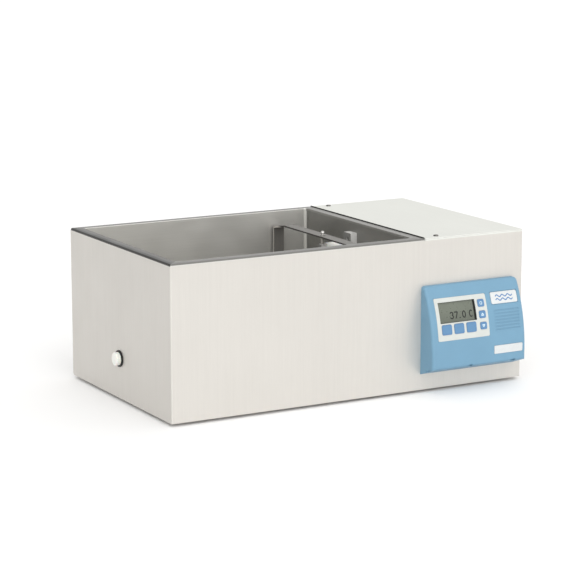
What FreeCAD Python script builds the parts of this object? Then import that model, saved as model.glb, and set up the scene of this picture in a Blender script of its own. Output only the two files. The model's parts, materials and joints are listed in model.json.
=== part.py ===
import FreeCAD, Part
import math
import os
import Sketcher

# A shaking water bath: a steel casing holds an open tank with a tray that a crank drive
# moves to and fro along the tank, and a control pod hangs on the front of the drive end.
# All lengths are in millimetres. X runs along the casing, Y from front to back, Z up.
# Pieces are laid out from the casing's datum corner: its left end, its front face and
# the surface that the feet stand on. The frame's origin is under the middle of the whole.

DRIVING_SIZES = {
    # casing
    "case_length": 620,
    "case_depth": 358,
    "case_top": 244,
    "foot_gap": 5,
    "pan_thick": 2.5,
    "sheet": 1.2,
    "bend": 2.5,
    "rim_drop": 3.5,
    "foot_inset": 42,
    "foot_radius": 12,
    # tank
    "split_x": 437,
    "split_gap": 1.2,
    "tank_left": 17,
    "tank_right": 422,
    "tank_front": 16,
    "tank_back": 343,
    "tank_floor": 50,
    "tank_corner": 7,
    # drive line
    "drive_y": 190.5,
    "drive_z": 206,
    "drive_rod_radius": 5,
    "stroke": 18,
    "rod_length": 60,
    "crosshead_x": 488,
    "running_gap": 0.05,
    # carriage
    "tray_left": 40,
    "tray_length": 348,
    "tray_front": 24,
    "tray_width": 311,
    "tray_floor": 72,
    "tray_wall": 28,
    "yoke_x": 355,
    "yoke_width": 19,
    "yoke_top": 226.7,
    "yoke_shoulder": 220,
    "yoke_thick": 2.5,
    "wheel_radius": 9,
    "wheel_width": 7,
    "rail_height": 1.5,
    # drain
    "drain_z": 68,
    "drain_bore": 5.5,
    "drain_thread": 8,
    "cap_radius": 10.3,
    "cap_reach": 9.5,
    # control pod
    "pod_left": 431,
    "pod_right": 604.5,
    "pod_base": 30,
    "pod_chin": 43,
    "pod_top": 170.2,
    "pod_top_reach": 7.7,
    "pod_face_reach": 36.1,
    "pod_crown_z": 60,
    "pod_wall": 2.5,
    "plate_proud": 0.4,
    "key_pitch": 22.7,
    "key_gap": 0.3,
    # rear
    "inlet_proud": 4,
}

# ---- small sizes, each used by one group of pieces

SCREW_RADIUS = 2
SCREW_HEAD = 1.6
FOOT_RECESS = 6
FOOT_WEB = 2
EDGE_BEND = 0.8
RIM_BEND = 2.2
MOUTH_BEND = 1
DRAIN_HOLE = 8.3
DRAIN_HEAD_THICK = 3
DRAIN_HEAD = 10
DRAIN_NUT = 13
NUT_THICK = 5
COLLAR_RADIUS = 12.8
COLLAR_THICK = 2.2
SPIGOT_REACH = 6.2
SEAL_THICK = 1.2
SEAL_GAP = 0.05
CAP_GAP = 0.3
CAP_ROUND = 1.6
CAP_FLUTES = 18
CAP_FLUTE = 0.9
COVER_SEAM_DROP = 0.9
COVER_SEAM_HEIGHT = 0.8
COVER_SEAM_DEEP = 0.6
COVER_SCREW_X = 465
COVER_SCREW_INSET = 13
COVER_SCREW_HEAD = 4
COVER_SCREW_RISE = 2
COVER_SCREW_SLOT = 0.7
COVER_SCREW_LENGTH = 10
GASKET_PROUD = 1.4
GASKET_INSET = 2.5
BULKHEAD_X = 450
BULKHEAD_FLANGE = 28
DRIVE_HOLE = 6.5
SLAB_CLEAR = 8
SLAB_INSET = 30
SLAB_END = 4
SLAB_SLACK = 0.4
HEATER_INSET = 30
HEATER_THICK = 3
PROBE_Y = 70
PROBE_Z = 63
PROBE_RADIUS = 2.5
PROBE_LENGTH = 20
PROBE_COLLAR = 3
RAIL_END = 20
RAIL_MARGIN = 2
GUIDE_DEPTH = 11.5
GUIDE_WIDTH = 21.6
GUIDE_BASE = 192
GUIDE_TOP = 226.6
GUIDE_SHEET = 1.5
GUIDE_HOLE = 2.4
GUIDE_HOLE_Z = 217
WHEEL_FLOAT = 0.3
WHEEL_INSET = 9
LEFT_AXLE_INSET = 60
RIGHT_AXLE_INSET = 42
AXLE_END = 2
AXLE_RADIUS = 2.5
EAR_THICK = 2
EAR_WIDTH = 12
EAR_DROP = 4
TRAY_CORNER = 1.1
TRAY_MARGIN = 17
TRAY_COLUMNS = 14
TRAY_ROWS = 12
TRAY_HOLE = 5
YOKE_FOOT = 12
YOKE_SCREW_RISE = 7
YOKE_SLOPE = 38
PIN_RADIUS = 3
PIN_BALL = 3.4
DRIVE_BLOCK_TOP = 212
DRIVE_BLOCK_LENGTH = 9
DRIVE_BLOCK_WIDTH = 10
DRIVE_BLOCK_DROP = 8
SLEEVE_RADIUS = 8
SLEEVE_LENGTH = 30
BEARING_LENGTH = 14
BEARING_SIDE = 28
BUSH_WALL = 3
FORK_LENGTH = 20
FORK_WIDTH = 18
FORK_SOCKET = 4
FORK_SLACK = 0.4
LINK_THICK = 5
LINK_CLEAR = 1
LINK_WIDTH = 8
SMALL_EYE = 6.5
BIG_EYE = 8
CRANK_PIN = 4
CRANK_PIN_HEIGHT = 5.5
CRANK_THICK = 7
CRANK_DISC = 18
SHAFT_RADIUS = 4
SHAFT_DROP = 30
STAND_SHEET = 2.5
MOTOR_SIDE = 62
GEARBOX_HEIGHT = 36
MOTOR_RADIUS = 28
MOTOR_HEIGHT = 74
STAND_ROOM = 14
STANDOFF_HEIGHT = 10
BOARD_X = 470
BOARD_Y = 24
BOARD_LENGTH = 125
BOARD_WIDTH = 70
BOARD_THICK = 1.6
BOARD_HOLE_INSET = 5
STANDOFF_RADIUS = 3.5
# x and y on the board, then length, width and height: transformer, relay and terminals
BOARD_PARTS = ((12, 12, 42, 36, 30), (70, 14, 26, 20, 16), (66, 44, 50, 12, 12))
VENT_ROWS = 7
VENT_X = 480
VENT_Z = 120
VENT_PITCH = 11
VENT_LENGTH = 100
VENT_HEIGHT = 4
PAN_VENT_Y = 190
REAR_Z = 60
INLET_X = 570
INLET_WIDTH = 32
INLET_HEIGHT = 24
INLET_DEPTH = 18
SOCKET_WIDTH = 25
SOCKET_HEIGHT = 17
SOCKET_DEPTH = 16
INLET_FLANGE = 5
PANEL_SLACK = 0.2
BLADE_WIDTH = 2
BLADE_HEIGHT = 6
# x and z steps of the inlet's three blades
BLADES = ((-7, 0), (0, 4), (7, 0))
SWITCH_X = 510
SWITCH_WIDTH = 20
SWITCH_HEIGHT = 27
SWITCH_DEPTH = 16
SWITCH_FLANGE = 2
ROCKER_WIDTH = 13
ROCKER_LENGTH = 19
ROCKER_WELL = 14
ROCKER_WELL_HEIGHT = 22.4
ROCKER_TILT = 8
ROCKER_FACE = 5
ROCKER_BACK = 4
ROCKER_HOLLOW = 1.8
ROCKER_TAPER = 1.5
ROCKER_HINGE_DEEP = 3
OVERLAY_X0, OVERLAY_X1 = 442, 537
OVERLAY_Z0, OVERLAY_Z1 = 87, 151.5
OVERLAY_THICK = 0.8
OVERLAY_PROUD = 0.2
OVERLAY_SLACK = 0.15
OVERLAY_ROUND = 2.4
OVERLAY_LEDGE = 3.7
OVERLAY_LOW_LEDGE = 7.5
WINDOW_X0, WINDOW_X1 = 448.2, 516
WINDOW_Z0, WINDOW_Z1 = 113.6, 145
SOFT_KEY_X = 458.7
KEY_ROW_Z = 103.8
SOFT_KEY_WIDTH, SOFT_KEY_HEIGHT = 18, 15.2
SMALL_KEY_X = 526.6
SMALL_KEY_PITCH = 17.2
SMALL_KEY_WIDTH, SMALL_KEY_HEIGHT = 12, 11
KEY_DEEP = 3.2
KEY_PROUD = 0.6
KEY_ROUND = 2.4
FRAME_DEEP = 6.5
PANE_DEEP = 3
DISPLAY_BOARD_HEIGHT = 54
DISPLAY_BOARD_DEEP = 12
DISPLAY_BOARD_THICK = 1.6
BADGE_X0, BADGE_X1 = 547, 596
BADGE_Z0, BADGE_Z1 = 134, 151.5
BADGE_DEEP = 1
BADGE_MARGIN = 1
BADGE_ROUND = 2.5
LABEL_X0, LABEL_X1 = 545, 598
LABEL_Z0, LABEL_Z1 = 57, 70
LABEL_DEEP = 0.8
LABEL_SLACK = 0.3
LABEL_ROUND = 1.5
RIB_COUNT = 7
RIB_X0, RIB_X1 = 549, 595
RIB_Z0, RIB_Z1 = 94, 125
RIB_HEIGHT = 2.2
RIB_DEEP = 0.7
NOTCHES = (496, 576)
NOTCH_WIDTH = 9
NOTCH_DEEP = 7
NOTCH_RISE = 2.2
SIDE_NOTCH_Y0, SIDE_NOTCH_Y1 = -28, -17
POD_BIG_CORNER = 7
POD_SMALL_CORNER = 5
POD_EDGE = 4.5
POD_CABLE_X = 517
POD_CABLE_Z = 70
POD_CABLE_HOLE = 8
GROMMET_WALL = 3
POD_PLATE_THICK = 2
POD_BOSS_RADIUS = 4
POD_BOSS_REACH = 8
POD_SCREW_REACH = 7

V = FreeCAD.Vector
doc = FreeCAD.newDocument("ShakingWaterBath")
sheet = doc.addObject("Spreadsheet::Sheet", "Sizes")
for row, (name, number) in enumerate(DRIVING_SIZES.items(), start=1):
    sheet.set(f"B{row}", str(number))
    sheet.setAlias(f"B{row}", name)
doc.recompute()


class Size:
    """A length that carries its number and the spreadsheet expression behind it."""

    def __init__(self, number, text):
        self.number = float(number)
        self.text = text

    def __float__(self):
        return self.number

    def __add__(self, other):
        other = as_size(other)
        return Size(self.number + other.number, f"({self.text} + {other.text})")

    def __sub__(self, other):
        other = as_size(other)
        return Size(self.number - other.number, f"({self.text} - {other.text})")

    def __mul__(self, other):
        other = as_size(other)
        return Size(self.number * other.number, f"({self.text} * {other.text})")

    def __truediv__(self, other):
        other = as_size(other)
        return Size(self.number / other.number, f"({self.text} / {other.text})")

    def __radd__(self, other):
        return as_size(other) + self

    def __rsub__(self, other):
        return as_size(other) - self

    def __rmul__(self, other):
        return as_size(other) * self


def as_size(amount):
    """Any number or Size as a Size."""
    if isinstance(amount, Size):
        return amount
    return Size(amount, f"({float(amount)!r})")


def root(amount):
    """The square root of a Size."""
    return Size(math.sqrt(amount.number), f"sqrt({amount.text})")


def size(name):
    """A driving size, read from the spreadsheet."""
    return Size(sheet.get(name), "Sizes." + name)


def bind(thing, prop, amount):
    """Ties a property to the spreadsheet expression of a Size."""
    thing.setExpression(prop, as_size(amount).text)


# ---- sizes that follow from the driving ones

sheet_thick = size("sheet")
case_length = size("case_length")
case_depth = size("case_depth")
case_top = size("case_top")
foot_gap = size("foot_gap")
plate_proud = size("plate_proud")
pod_reach = size("pod_face_reach") + plate_proud
left = (size("cap_reach") - case_length) / 2
front = (pod_reach - case_depth - size("inlet_proud")) / 2
wrap_base = foot_gap + size("pan_thick")
wrap_top = case_top - size("rim_drop")
mid_y = case_depth / 2
drive_y = size("drive_y")
drive_z = size("drive_z")
running_gap = size("running_gap")
tank_floor = size("tank_floor")
split_x = size("split_x")
crank_radius = size("stroke") / 2
crank_x = size("crosshead_x") + size("rod_length")

pieces = {}
cuts = []


# ---- helpers

def register(thing, label):
    """Names a finished sub-part."""
    thing.Label = label
    pieces[label] = thing
    return thing


def place(thing, x, y, z, turn=None):
    """Puts a thing at x, y, z from the casing's datum corner."""
    spot = (left + x, front + y, as_size(z))
    thing.Placement = FreeCAD.Placement(V(*map(float, spot)), turn or FreeCAD.Rotation())
    for axis, amount in zip("xyz", spot):
        bind(thing, f"Placement.Base.{axis}", amount)
    return thing


def new_body(label):
    """A body whose own axes start at the casing's datum corner."""
    body = doc.addObject("PartDesign::Body", "Body")
    place(body, 0, 0, 0)
    return register(body, label)


def dimension(sketch, kind, *where):
    """Adds a datum constraint bound to the Size that ends the argument list."""
    *spots, amount = where
    amount = as_size(amount)
    index = sketch.addConstraint(Sketcher.Constraint(kind, *spots, amount.number))
    bind(sketch, f"Constraints[{index}]", amount)


def outline(sketch, points, arcs=None):
    """Closed outline through points. arcs maps a segment's number to its centre and radius."""
    arcs = arcs or {}
    points = [(as_size(x), as_size(y)) for x, y in points]
    segments = []
    for i, (x, y) in enumerate(points):
        next_x, next_y = points[(i + 1) % len(points)]
        start = V(float(x), float(y), 0)
        end = V(float(next_x), float(next_y), 0)
        if i not in arcs:
            index = sketch.addGeometry(Part.LineSegment(start, end), False)
            segments.append((index, 1, 2))
            continue
        centre = V(float(arcs[i][0]), float(arcs[i][1]), 0)
        angles = [math.atan2(p.y - centre.y, p.x - centre.x) for p in (start, end)]
        forward = math.remainder(angles[1] - angles[0], 2 * math.pi) > 0
        if not forward:
            angles.reverse()
        circle_of = Part.Circle(centre, V(0, 0, 1), float(arcs[i][2]))
        index = sketch.addGeometry(Part.ArcOfCircle(circle_of, *angles), False)
        segments.append((index, 1, 2) if forward else (index, 2, 1))
    for i, (index, _, end) in enumerate(segments):
        following = segments[(i + 1) % len(segments)]
        sketch.addConstraint(Sketcher.Constraint("Coincident", index, end, following[0], following[1]))
    for i, (index, start, _) in enumerate(segments):
        dimension(sketch, "DistanceX", -1, 1, index, start, points[i][0])
        dimension(sketch, "DistanceY", -1, 1, index, start, points[i][1])
        if i in arcs:
            dimension(sketch, "Radius", index, arcs[i][2])


def rectangle(sketch, x, y, width, height):
    """A rectangle with its lower left corner at x, y."""
    x, y = as_size(x), as_size(y)
    outline(sketch, [(x, y), (x + width, y), (x + width, y + height), (x, y + height)])


def circle(sketch, x, y, radius):
    """A full circle about x, y."""
    spot = V(float(as_size(x)), float(as_size(y)), 0)
    index = sketch.addGeometry(Part.Circle(spot, V(0, 0, 1), float(as_size(radius))), False)
    dimension(sketch, "DistanceX", -1, 1, index, 3, x)
    dimension(sketch, "DistanceY", -1, 1, index, 3, y)
    dimension(sketch, "Radius", index, radius)


def add(body, kind, plane, start, length, draw, *drawing):
    """A Pad or Pocket that fills start to start + length along the plane's positive world axis."""
    sketch = body.newObject("Sketcher::SketchObject", "Sketch")
    support = [o for o in body.Origin.OriginFeatures if o.Role == plane + "_Plane"][0]
    sketch.AttachmentSupport = [(support, "")]
    sketch.MapMode = "FlatFace"
    backward = plane == "XZ"
    start = as_size(start)
    bind(sketch, "AttachmentOffset.Base.z", 0 - start if backward else start)
    draw(sketch, *drawing)
    feature = body.newObject("PartDesign::" + kind, kind)
    feature.Profile = sketch
    bind(feature, "Length", length)
    feature.Reversed = backward == (kind == "Pad")
    sketch.Visibility = False
    if kind == "Pocket":
        cuts.append(feature)
    return feature


def pad(body, *how):
    return add(body, "Pad", *how)


def pocket(body, *how):
    return add(body, "Pocket", *how)


def fillet(body, radius, wanted):
    """Rounds the body's edges for which wanted(edge) is true."""
    doc.recompute()
    base = body.Tip
    names = [f"Edge{i}" for i, edge in enumerate(base.Shape.Edges, start=1) if wanted(edge)]
    if not names:
        raise RuntimeError(f"{body.Label}: no edge to round")
    feature = body.newObject("PartDesign::Fillet", "Fillet")
    feature.Base = (base, names)
    bind(feature, "Radius", radius)
    return feature


def near(a, b):
    return abs(float(a) - float(b)) < 0.01


def upright_at(spots):
    """Edges along Z at any of the given x, y spots."""
    def wanted(edge):
        box_of = edge.BoundBox
        return (box_of.XLength < 0.01 and box_of.YLength < 0.01
                and any(near(box_of.XMin, x) and near(box_of.YMin, y) for x, y in spots))
    return wanted


def along(axis, test=lambda box_of: True):
    """Straight edges along one axis whose bounding box passes a test."""
    def wanted(edge):
        box_of = edge.BoundBox
        lengths = {"X": box_of.XLength, "Y": box_of.YLength, "Z": box_of.ZLength}
        others = [amount for name, amount in lengths.items() if name != axis]
        return lengths[axis] > 0.01 and max(others) < 0.01 and test(box_of)
    return wanted


def level(*heights):
    """Edges that lie flat at one of the given heights."""
    def wanted(edge):
        box_of = edge.BoundBox
        return box_of.ZLength < 0.01 and any(near(box_of.ZMin, z) for z in heights)
    return wanted


def block(x, y, z, dx, dy, dz, turn=None):
    """A plain block with its lowest corner at x, y, z."""
    solid = doc.addObject("Part::Box", "Block")
    for prop, amount in zip(("Length", "Width", "Height"), (dx, dy, dz)):
        bind(solid, prop, amount)
    return place(solid, x, y, z, turn)


AXIS_TURNS = {
    "X": FreeCAD.Rotation(V(0, 1, 0), 90),
    "Y": FreeCAD.Rotation(V(1, 0, 0), -90),
    "Z": FreeCAD.Rotation(),
}


def bar(axis, x, y, z, radius, length):
    """A round bar that starts at x, y, z and runs along an axis."""
    solid = doc.addObject("Part::Cylinder", "Bar")
    bind(solid, "Radius", radius)
    bind(solid, "Height", length)
    return place(solid, x, y, z, AXIS_TURNS[axis])


def ring(axis, x, y, z, outer, inner, length):
    """A round bar with a bore."""
    return cut(bar(axis, x, y, z, outer, length), bar(axis, x, y, z, inner, length))


def cut(base, *tools):
    """Base with the tools taken away."""
    for tool in tools:
        result = doc.addObject("Part::Cut", "Cut")
        result.Base = base
        result.Tool = tool
        cuts.append(result)
        base = result
    return base


def fuse(*solids):
    result = doc.addObject("Part::MultiFuse", "Fusion")
    result.Shapes = list(solids)
    result.Refine = True
    return result


def group(label, solids):
    """Separate solids that share one sub-part."""
    result = doc.addObject("Part::Compound", "Group")
    result.Links = list(solids)
    return register(result, label)


# ---- casing

def casing_wrap():
    """Front and both ends, bent from one sheet, open at the back."""
    body = new_body("casing_wrap")
    height = wrap_top - wrap_base
    wrap_depth = case_depth - sheet_thick
    pad(body, "XY", wrap_base, height, rectangle, 0, 0, case_length, wrap_depth)
    pocket(body, "XY", wrap_base, height, rectangle,
           sheet_thick, sheet_thick, case_length - 2 * sheet_thick, case_depth)
    inner = [(float(sheet_thick), float(sheet_thick)),
             (float(case_length - sheet_thick), float(sheet_thick))]
    fillet(body, size("bend"), upright_at([(0, 0), (float(case_length), 0)]))
    fillet(body, size("bend") - sheet_thick, upright_at(inner))
    pocket(body, "YZ", -1, sheet_thick + 2, circle, mid_y, size("drain_z"), DRAIN_HOLE)
    pocket(body, "XZ", -1, sheet_thick + 2, circle, POD_CABLE_X, POD_CABLE_Z, POD_CABLE_HOLE)
    for x, z in pod_screw_spots():
        pocket(body, "XZ", -1, sheet_thick + 2, circle, x, z, SCREW_RADIUS + 0.2)


def back_panel():
    """Flat rear sheet with cooling slots, and cut-outs for the inlet and the mains switch."""
    body = new_body("back_panel")
    y = case_depth - sheet_thick
    pad(body, "XZ", y, sheet_thick, rectangle, 0, wrap_base, case_length, wrap_top - wrap_base)
    for row_number in range(VENT_ROWS):
        z = VENT_Z + VENT_PITCH * row_number
        pocket(body, "XZ", y - 1, sheet_thick + 2, rectangle, VENT_X, z, VENT_LENGTH, VENT_HEIGHT)
    pocket(body, "XZ", y - 1, sheet_thick + 2, rectangle,
           INLET_X - INLET_WIDTH / 2, REAR_Z - INLET_HEIGHT / 2, INLET_WIDTH, INLET_HEIGHT)
    pocket(body, "XZ", y - 1, sheet_thick + 2, rectangle,
           SWITCH_X - SWITCH_WIDTH / 2, REAR_Z - SWITCH_HEIGHT / 2, SWITCH_WIDTH, SWITCH_HEIGHT)


def base_pan():
    """Pan that closes the underside; its edge shows as a thin lip below the casing."""
    body = new_body("base_pan")
    pad(body, "XY", foot_gap, size("pan_thick"), rectangle, 0, 0, case_length, case_depth)
    fillet(body, size("bend"), along("Z"))
    for row_number in range(VENT_ROWS):
        pocket(body, "XY", foot_gap - 1, size("pan_thick") + 2, rectangle,
               VENT_X, PAN_VENT_Y + VENT_PITCH * row_number, VENT_LENGTH, VENT_HEIGHT)


def foot_spots():
    inset = size("foot_inset")
    return [(x, y) for x in (inset, case_length - inset) for y in (inset, case_depth - inset)]


def feet():
    """Four rubber feet, each with a recess for its screw."""
    solids = []
    for x, y in foot_spots():
        foot = bar("Z", x, y, 0, size("foot_radius"), foot_gap)
        recess = bar("Z", x, y, 0, FOOT_RECESS, foot_gap - FOOT_WEB)
        hole = bar("Z", x, y, 0, SCREW_RADIUS + 0.05, foot_gap)
        solids.append(cut(foot, recess, hole))
    group("rubber_feet", solids)


def casing_screws():
    """Pan-head screws: one up through each foot, and four from inside the casing into the pod."""
    solids = []
    for x, y in foot_spots():
        head = bar("Z", x, y, foot_gap - FOOT_WEB - SCREW_HEAD, SCREW_RADIUS * 2, SCREW_HEAD)
        shank = bar("Z", x, y, foot_gap - FOOT_WEB - 0.5, SCREW_RADIUS, FOOT_WEB + 0.5)
        solids.append(fuse(head, shank))
    for x, z in pod_screw_spots():
        head = bar("Y", x, sheet_thick, z, SCREW_RADIUS * 2, SCREW_HEAD)
        shank = bar("Y", x, -POD_SCREW_REACH, z, SCREW_RADIUS, POD_SCREW_REACH + sheet_thick + 0.5)
        solids.append(fuse(head, shank))
    group("casing_screws", solids)


def top_cover():
    """Lid of the drive compartment: a sheet with folded edges and a fine seam line round them."""
    body = new_body("top_cover")
    start = split_x + size("split_gap") / 2
    length = case_length - start
    pad(body, "XY", wrap_top, size("rim_drop"), rectangle, start, 0, length, case_depth)
    fillet(body, size("bend"), upright_at([(float(case_length), 0), (float(case_length), float(case_depth))]))
    fillet(body, EDGE_BEND, level(case_top))
    pocket(body, "XY", wrap_top, size("rim_drop") - sheet_thick, rectangle,
           start + sheet_thick, sheet_thick, length - 2 * sheet_thick, case_depth - 2 * sheet_thick)
    seam = COVER_SEAM_DEEP
    pocket(body, "XY", case_top - COVER_SEAM_DROP - COVER_SEAM_HEIGHT, COVER_SEAM_HEIGHT, ring_outline,
           (start - 1, -1, length + 2, case_depth + 2),
           (start - 0.5, seam, length + 0.5 - seam, case_depth - 2 * seam))
    for x, y in cover_screw_spots():
        pocket(body, "XY", wrap_top - 1, size("rim_drop") + 2, circle, x, y, SCREW_RADIUS + 0.2)


def cover_screw_spots():
    return [(COVER_SCREW_X, COVER_SCREW_INSET), (COVER_SCREW_X, case_depth - COVER_SCREW_INSET)]


def cover_screws():
    """Two round-head screws that hold the cover down on the bulkhead's flange."""
    solids = []
    for x, y in cover_screw_spots():
        head = bar("Z", x, y, case_top, COVER_SCREW_HEAD, COVER_SCREW_RISE)
        head_round = doc.addObject("Part::Fillet", "HeadRound")
        head_round.Base = head
        doc.recompute()
        rounded = [i for i, edge in enumerate(head.Shape.Edges, start=1)
                   if level(case_top + COVER_SCREW_RISE)(edge)]
        head_round.Edges = [(i, COVER_SCREW_RISE * 0.7, COVER_SCREW_RISE * 0.7) for i in rounded]
        slot_z = case_top + COVER_SCREW_RISE - COVER_SCREW_SLOT
        slot = block(x - COVER_SCREW_HEAD, y - 0.5, slot_z, COVER_SCREW_HEAD * 2, 1, COVER_SCREW_SLOT + 0.3)
        shank = bar("Z", x, y, case_top - COVER_SCREW_LENGTH, SCREW_RADIUS, COVER_SCREW_LENGTH)
        solids.append(fuse(cut(head_round, slot), shank))
    group("cover_screws", solids)


def cover_gasket():
    """Black seal strip that fills the gap between flange and cover and stands proud of both."""
    gap = size("split_gap")
    strip = block(split_x - gap / 2, GASKET_INSET, wrap_top,
                  gap, case_depth - 2 * GASKET_INSET, size("rim_drop") + GASKET_PROUD)
    register(strip, "cover_gasket")


def bulkhead():
    """Upright sheet between tank and drive, with a flange that carries the cover."""
    body = new_body("bulkhead")
    inside = case_depth - 2 * sheet_thick - 0.6
    y = sheet_thick + 0.3
    top = case_top - sheet_thick
    pad(body, "XY", wrap_base, top - wrap_base, rectangle, BULKHEAD_X, y, sheet_thick, inside)
    pad(body, "XY", top - sheet_thick, sheet_thick, rectangle, BULKHEAD_X, y, BULKHEAD_FLANGE, inside)
    pocket(body, "YZ", BULKHEAD_X - 1, sheet_thick + 2, circle, drive_y, drive_z, DRIVE_HOLE)
    for x, spot_y in cover_screw_spots():
        pocket(body, "XY", top - 5, 8, circle, x, spot_y, SCREW_RADIUS)


# ---- tank

def tank():
    """Deep tank with a flange that lies on the casing and turns down over its edge."""
    body = new_body("tank")
    x0, x1 = size("tank_left"), size("tank_right")
    y0, y1 = size("tank_front"), size("tank_back")
    corner = size("tank_corner")
    flange_end = split_x - size("split_gap") / 2
    under_flange = case_top - sheet_thick
    outer_floor = tank_floor - sheet_thick
    pad(body, "XY", outer_floor, under_flange - outer_floor, rectangle,
        x0 - sheet_thick, y0 - sheet_thick, x1 - x0 + 2 * sheet_thick, y1 - y0 + 2 * sheet_thick)
    pad(body, "XY", wrap_top, size("rim_drop"), rectangle, 0, 0, flange_end, case_depth)
    fillet(body, size("bend"), upright_at([(0, 0), (0, float(case_depth))]))
    fillet(body, RIM_BEND, along_rim(level(case_top)))
    pocket(body, "XY", wrap_top, size("rim_drop") - sheet_thick, ring_outline,
           (sheet_thick, sheet_thick, flange_end - 2 * sheet_thick, case_depth - 2 * sheet_thick),
           (x0 - sheet_thick, y0 - sheet_thick, x1 - x0 + 2 * sheet_thick, y1 - y0 + 2 * sheet_thick))
    pocket(body, "XY", tank_floor, case_top - tank_floor, rectangle, x0, y0, x1 - x0, y1 - y0)
    fillet(body, corner, tank_edges(tank_floor, (x0, x1), (y0, y1)))
    outer_x = (x0 - sheet_thick, x1 + sheet_thick)
    outer_y = (y0 - sheet_thick, y1 + sheet_thick)
    fillet(body, corner + sheet_thick, tank_edges(outer_floor, outer_x, outer_y))
    fillet(body, MOUTH_BEND, inside_mouth(x0, x1, y0, y1))
    pocket(body, "YZ", x0 - 3, 4, circle, mid_y, size("drain_z"), DRAIN_HOLE)
    pocket(body, "YZ", x1 - 1, 4, circle, drive_y, drive_z, DRIVE_HOLE)
    pocket(body, "YZ", x1 - 1, 4, circle, PROBE_Y, PROBE_Z, PROBE_RADIUS + 1)


def along_rim(test):
    """The rim's outer edges, leaving out the one beside the cover."""
    def wanted(edge):
        return test(edge) and edge.BoundBox.XMin < float(split_x) - 2
    return wanted


def ring_outline(sketch, outer, inner):
    """Two rectangles, one inside the other."""
    rectangle(sketch, *outer)
    rectangle(sketch, *inner)


def tank_edges(floor_z, sides, ends):
    """The four upright corners of the tank's inside or outside, and the edge round its floor."""
    corners = upright_at([(float(x), float(y)) for x in sides for y in ends])
    floor_edge = level(floor_z)
    return lambda edge: corners(edge) or floor_edge(edge)


def inside_mouth(x0, x1, y0, y1):
    """The edge round the tank's mouth."""
    def wanted(edge):
        spot = edge.BoundBox
        return (level(case_top)(edge) and spot.XMin > float(x0) - 1 and spot.XMax < float(x1) + 1
                and spot.YMin > float(y0) - 1 and spot.YMax < float(y1) + 1)
    return wanted


def tank_insulation():
    """Foam slabs between the tank and the left end, the front and the back."""
    x0, x1 = size("tank_left"), size("tank_right")
    z = wrap_base + SLAB_CLEAR
    height = wrap_top - SLAB_CLEAR - z
    skin = sheet_thick + SLAB_SLACK
    slab_left = block(skin, SLAB_INSET, z, x0 - 2 * skin, case_depth - 2 * SLAB_INSET, height)
    opening = bar("X", -1, mid_y, size("drain_z"), DRAIN_NUT + 3, x0)
    slab_x = x0 + SLAB_END
    slab_length = x1 - SLAB_END - slab_x
    slab_front = block(slab_x, skin, z, slab_length, size("tank_front") - 2 * skin, height)
    back_gap = case_depth - size("tank_back")
    slab_back = block(slab_x, size("tank_back") + skin, z, slab_length, back_gap - 2 * skin, height)
    group("tank_insulation", [cut(slab_left, opening), slab_front, slab_back])


def heater():
    """Flat heater bonded under the tank."""
    x = size("tank_left") + HEATER_INSET
    y = size("tank_front") + HEATER_INSET
    z = tank_floor - sheet_thick - HEATER_THICK
    pad_block = block(x, y, z, size("tank_right") - HEATER_INSET - x,
                      size("tank_back") - HEATER_INSET - y, HEATER_THICK)
    register(pad_block, "heater_pad")


def temperature_probe():
    """Steel probe with a collar, which reaches into the tank through its right wall."""
    x1 = size("tank_right")
    probe = bar("X", x1 - PROBE_LENGTH, PROBE_Y, PROBE_Z, PROBE_RADIUS, PROBE_LENGTH + 20)
    collar = bar("X", x1 - PROBE_COLLAR, PROBE_Y, PROBE_Z, PROBE_RADIUS + PROBE_COLLAR, PROBE_COLLAR)
    register(fuse(probe, collar), "temperature_probe")


def prism(axis, x, y, z, radius, length):
    """A hexagonal bar."""
    solid = doc.addObject("Part::Prism", "Hexagon")
    solid.Polygon = 6
    bind(solid, "Circumradius", radius)
    bind(solid, "Height", length)
    return place(solid, x, y, z, AXIS_TURNS[axis])


def wheel_rails():
    """Two flat strips on the tank floor that the carriage wheels run on."""
    length = size("tank_right") - size("tank_left") - 2 * RAIL_END
    width = size("wheel_width") + 2 * RAIL_MARGIN
    strips = [block(size("tank_left") + RAIL_END, y - RAIL_MARGIN, tank_floor, length, width,
                    size("rail_height")) for y in wheel_spots()]
    group("wheel_rails", strips)


def guide_bracket():
    """Channel on the tank's right wall that the drive rod comes out of."""
    x1 = size("tank_right")
    x = x1 - GUIDE_DEPTH
    y = drive_y - GUIDE_WIDTH / 2
    body = new_body("guide_bracket")
    pad(body, "XY", GUIDE_BASE, GUIDE_TOP - GUIDE_BASE, rectangle, x, y, GUIDE_DEPTH, GUIDE_WIDTH)
    pocket(body, "XY", GUIDE_BASE, GUIDE_TOP - GUIDE_BASE - GUIDE_SHEET, rectangle,
           x + GUIDE_SHEET, y + GUIDE_SHEET, GUIDE_DEPTH, GUIDE_WIDTH - 2 * GUIDE_SHEET)
    pocket(body, "YZ", x - 1, GUIDE_SHEET + 2, circle, drive_y, drive_z, size("drive_rod_radius") + 0.6)
    pocket(body, "YZ", x - 1, GUIDE_SHEET + 2, circle, drive_y, GUIDE_HOLE_Z, GUIDE_HOLE)


# ---- drain

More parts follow.
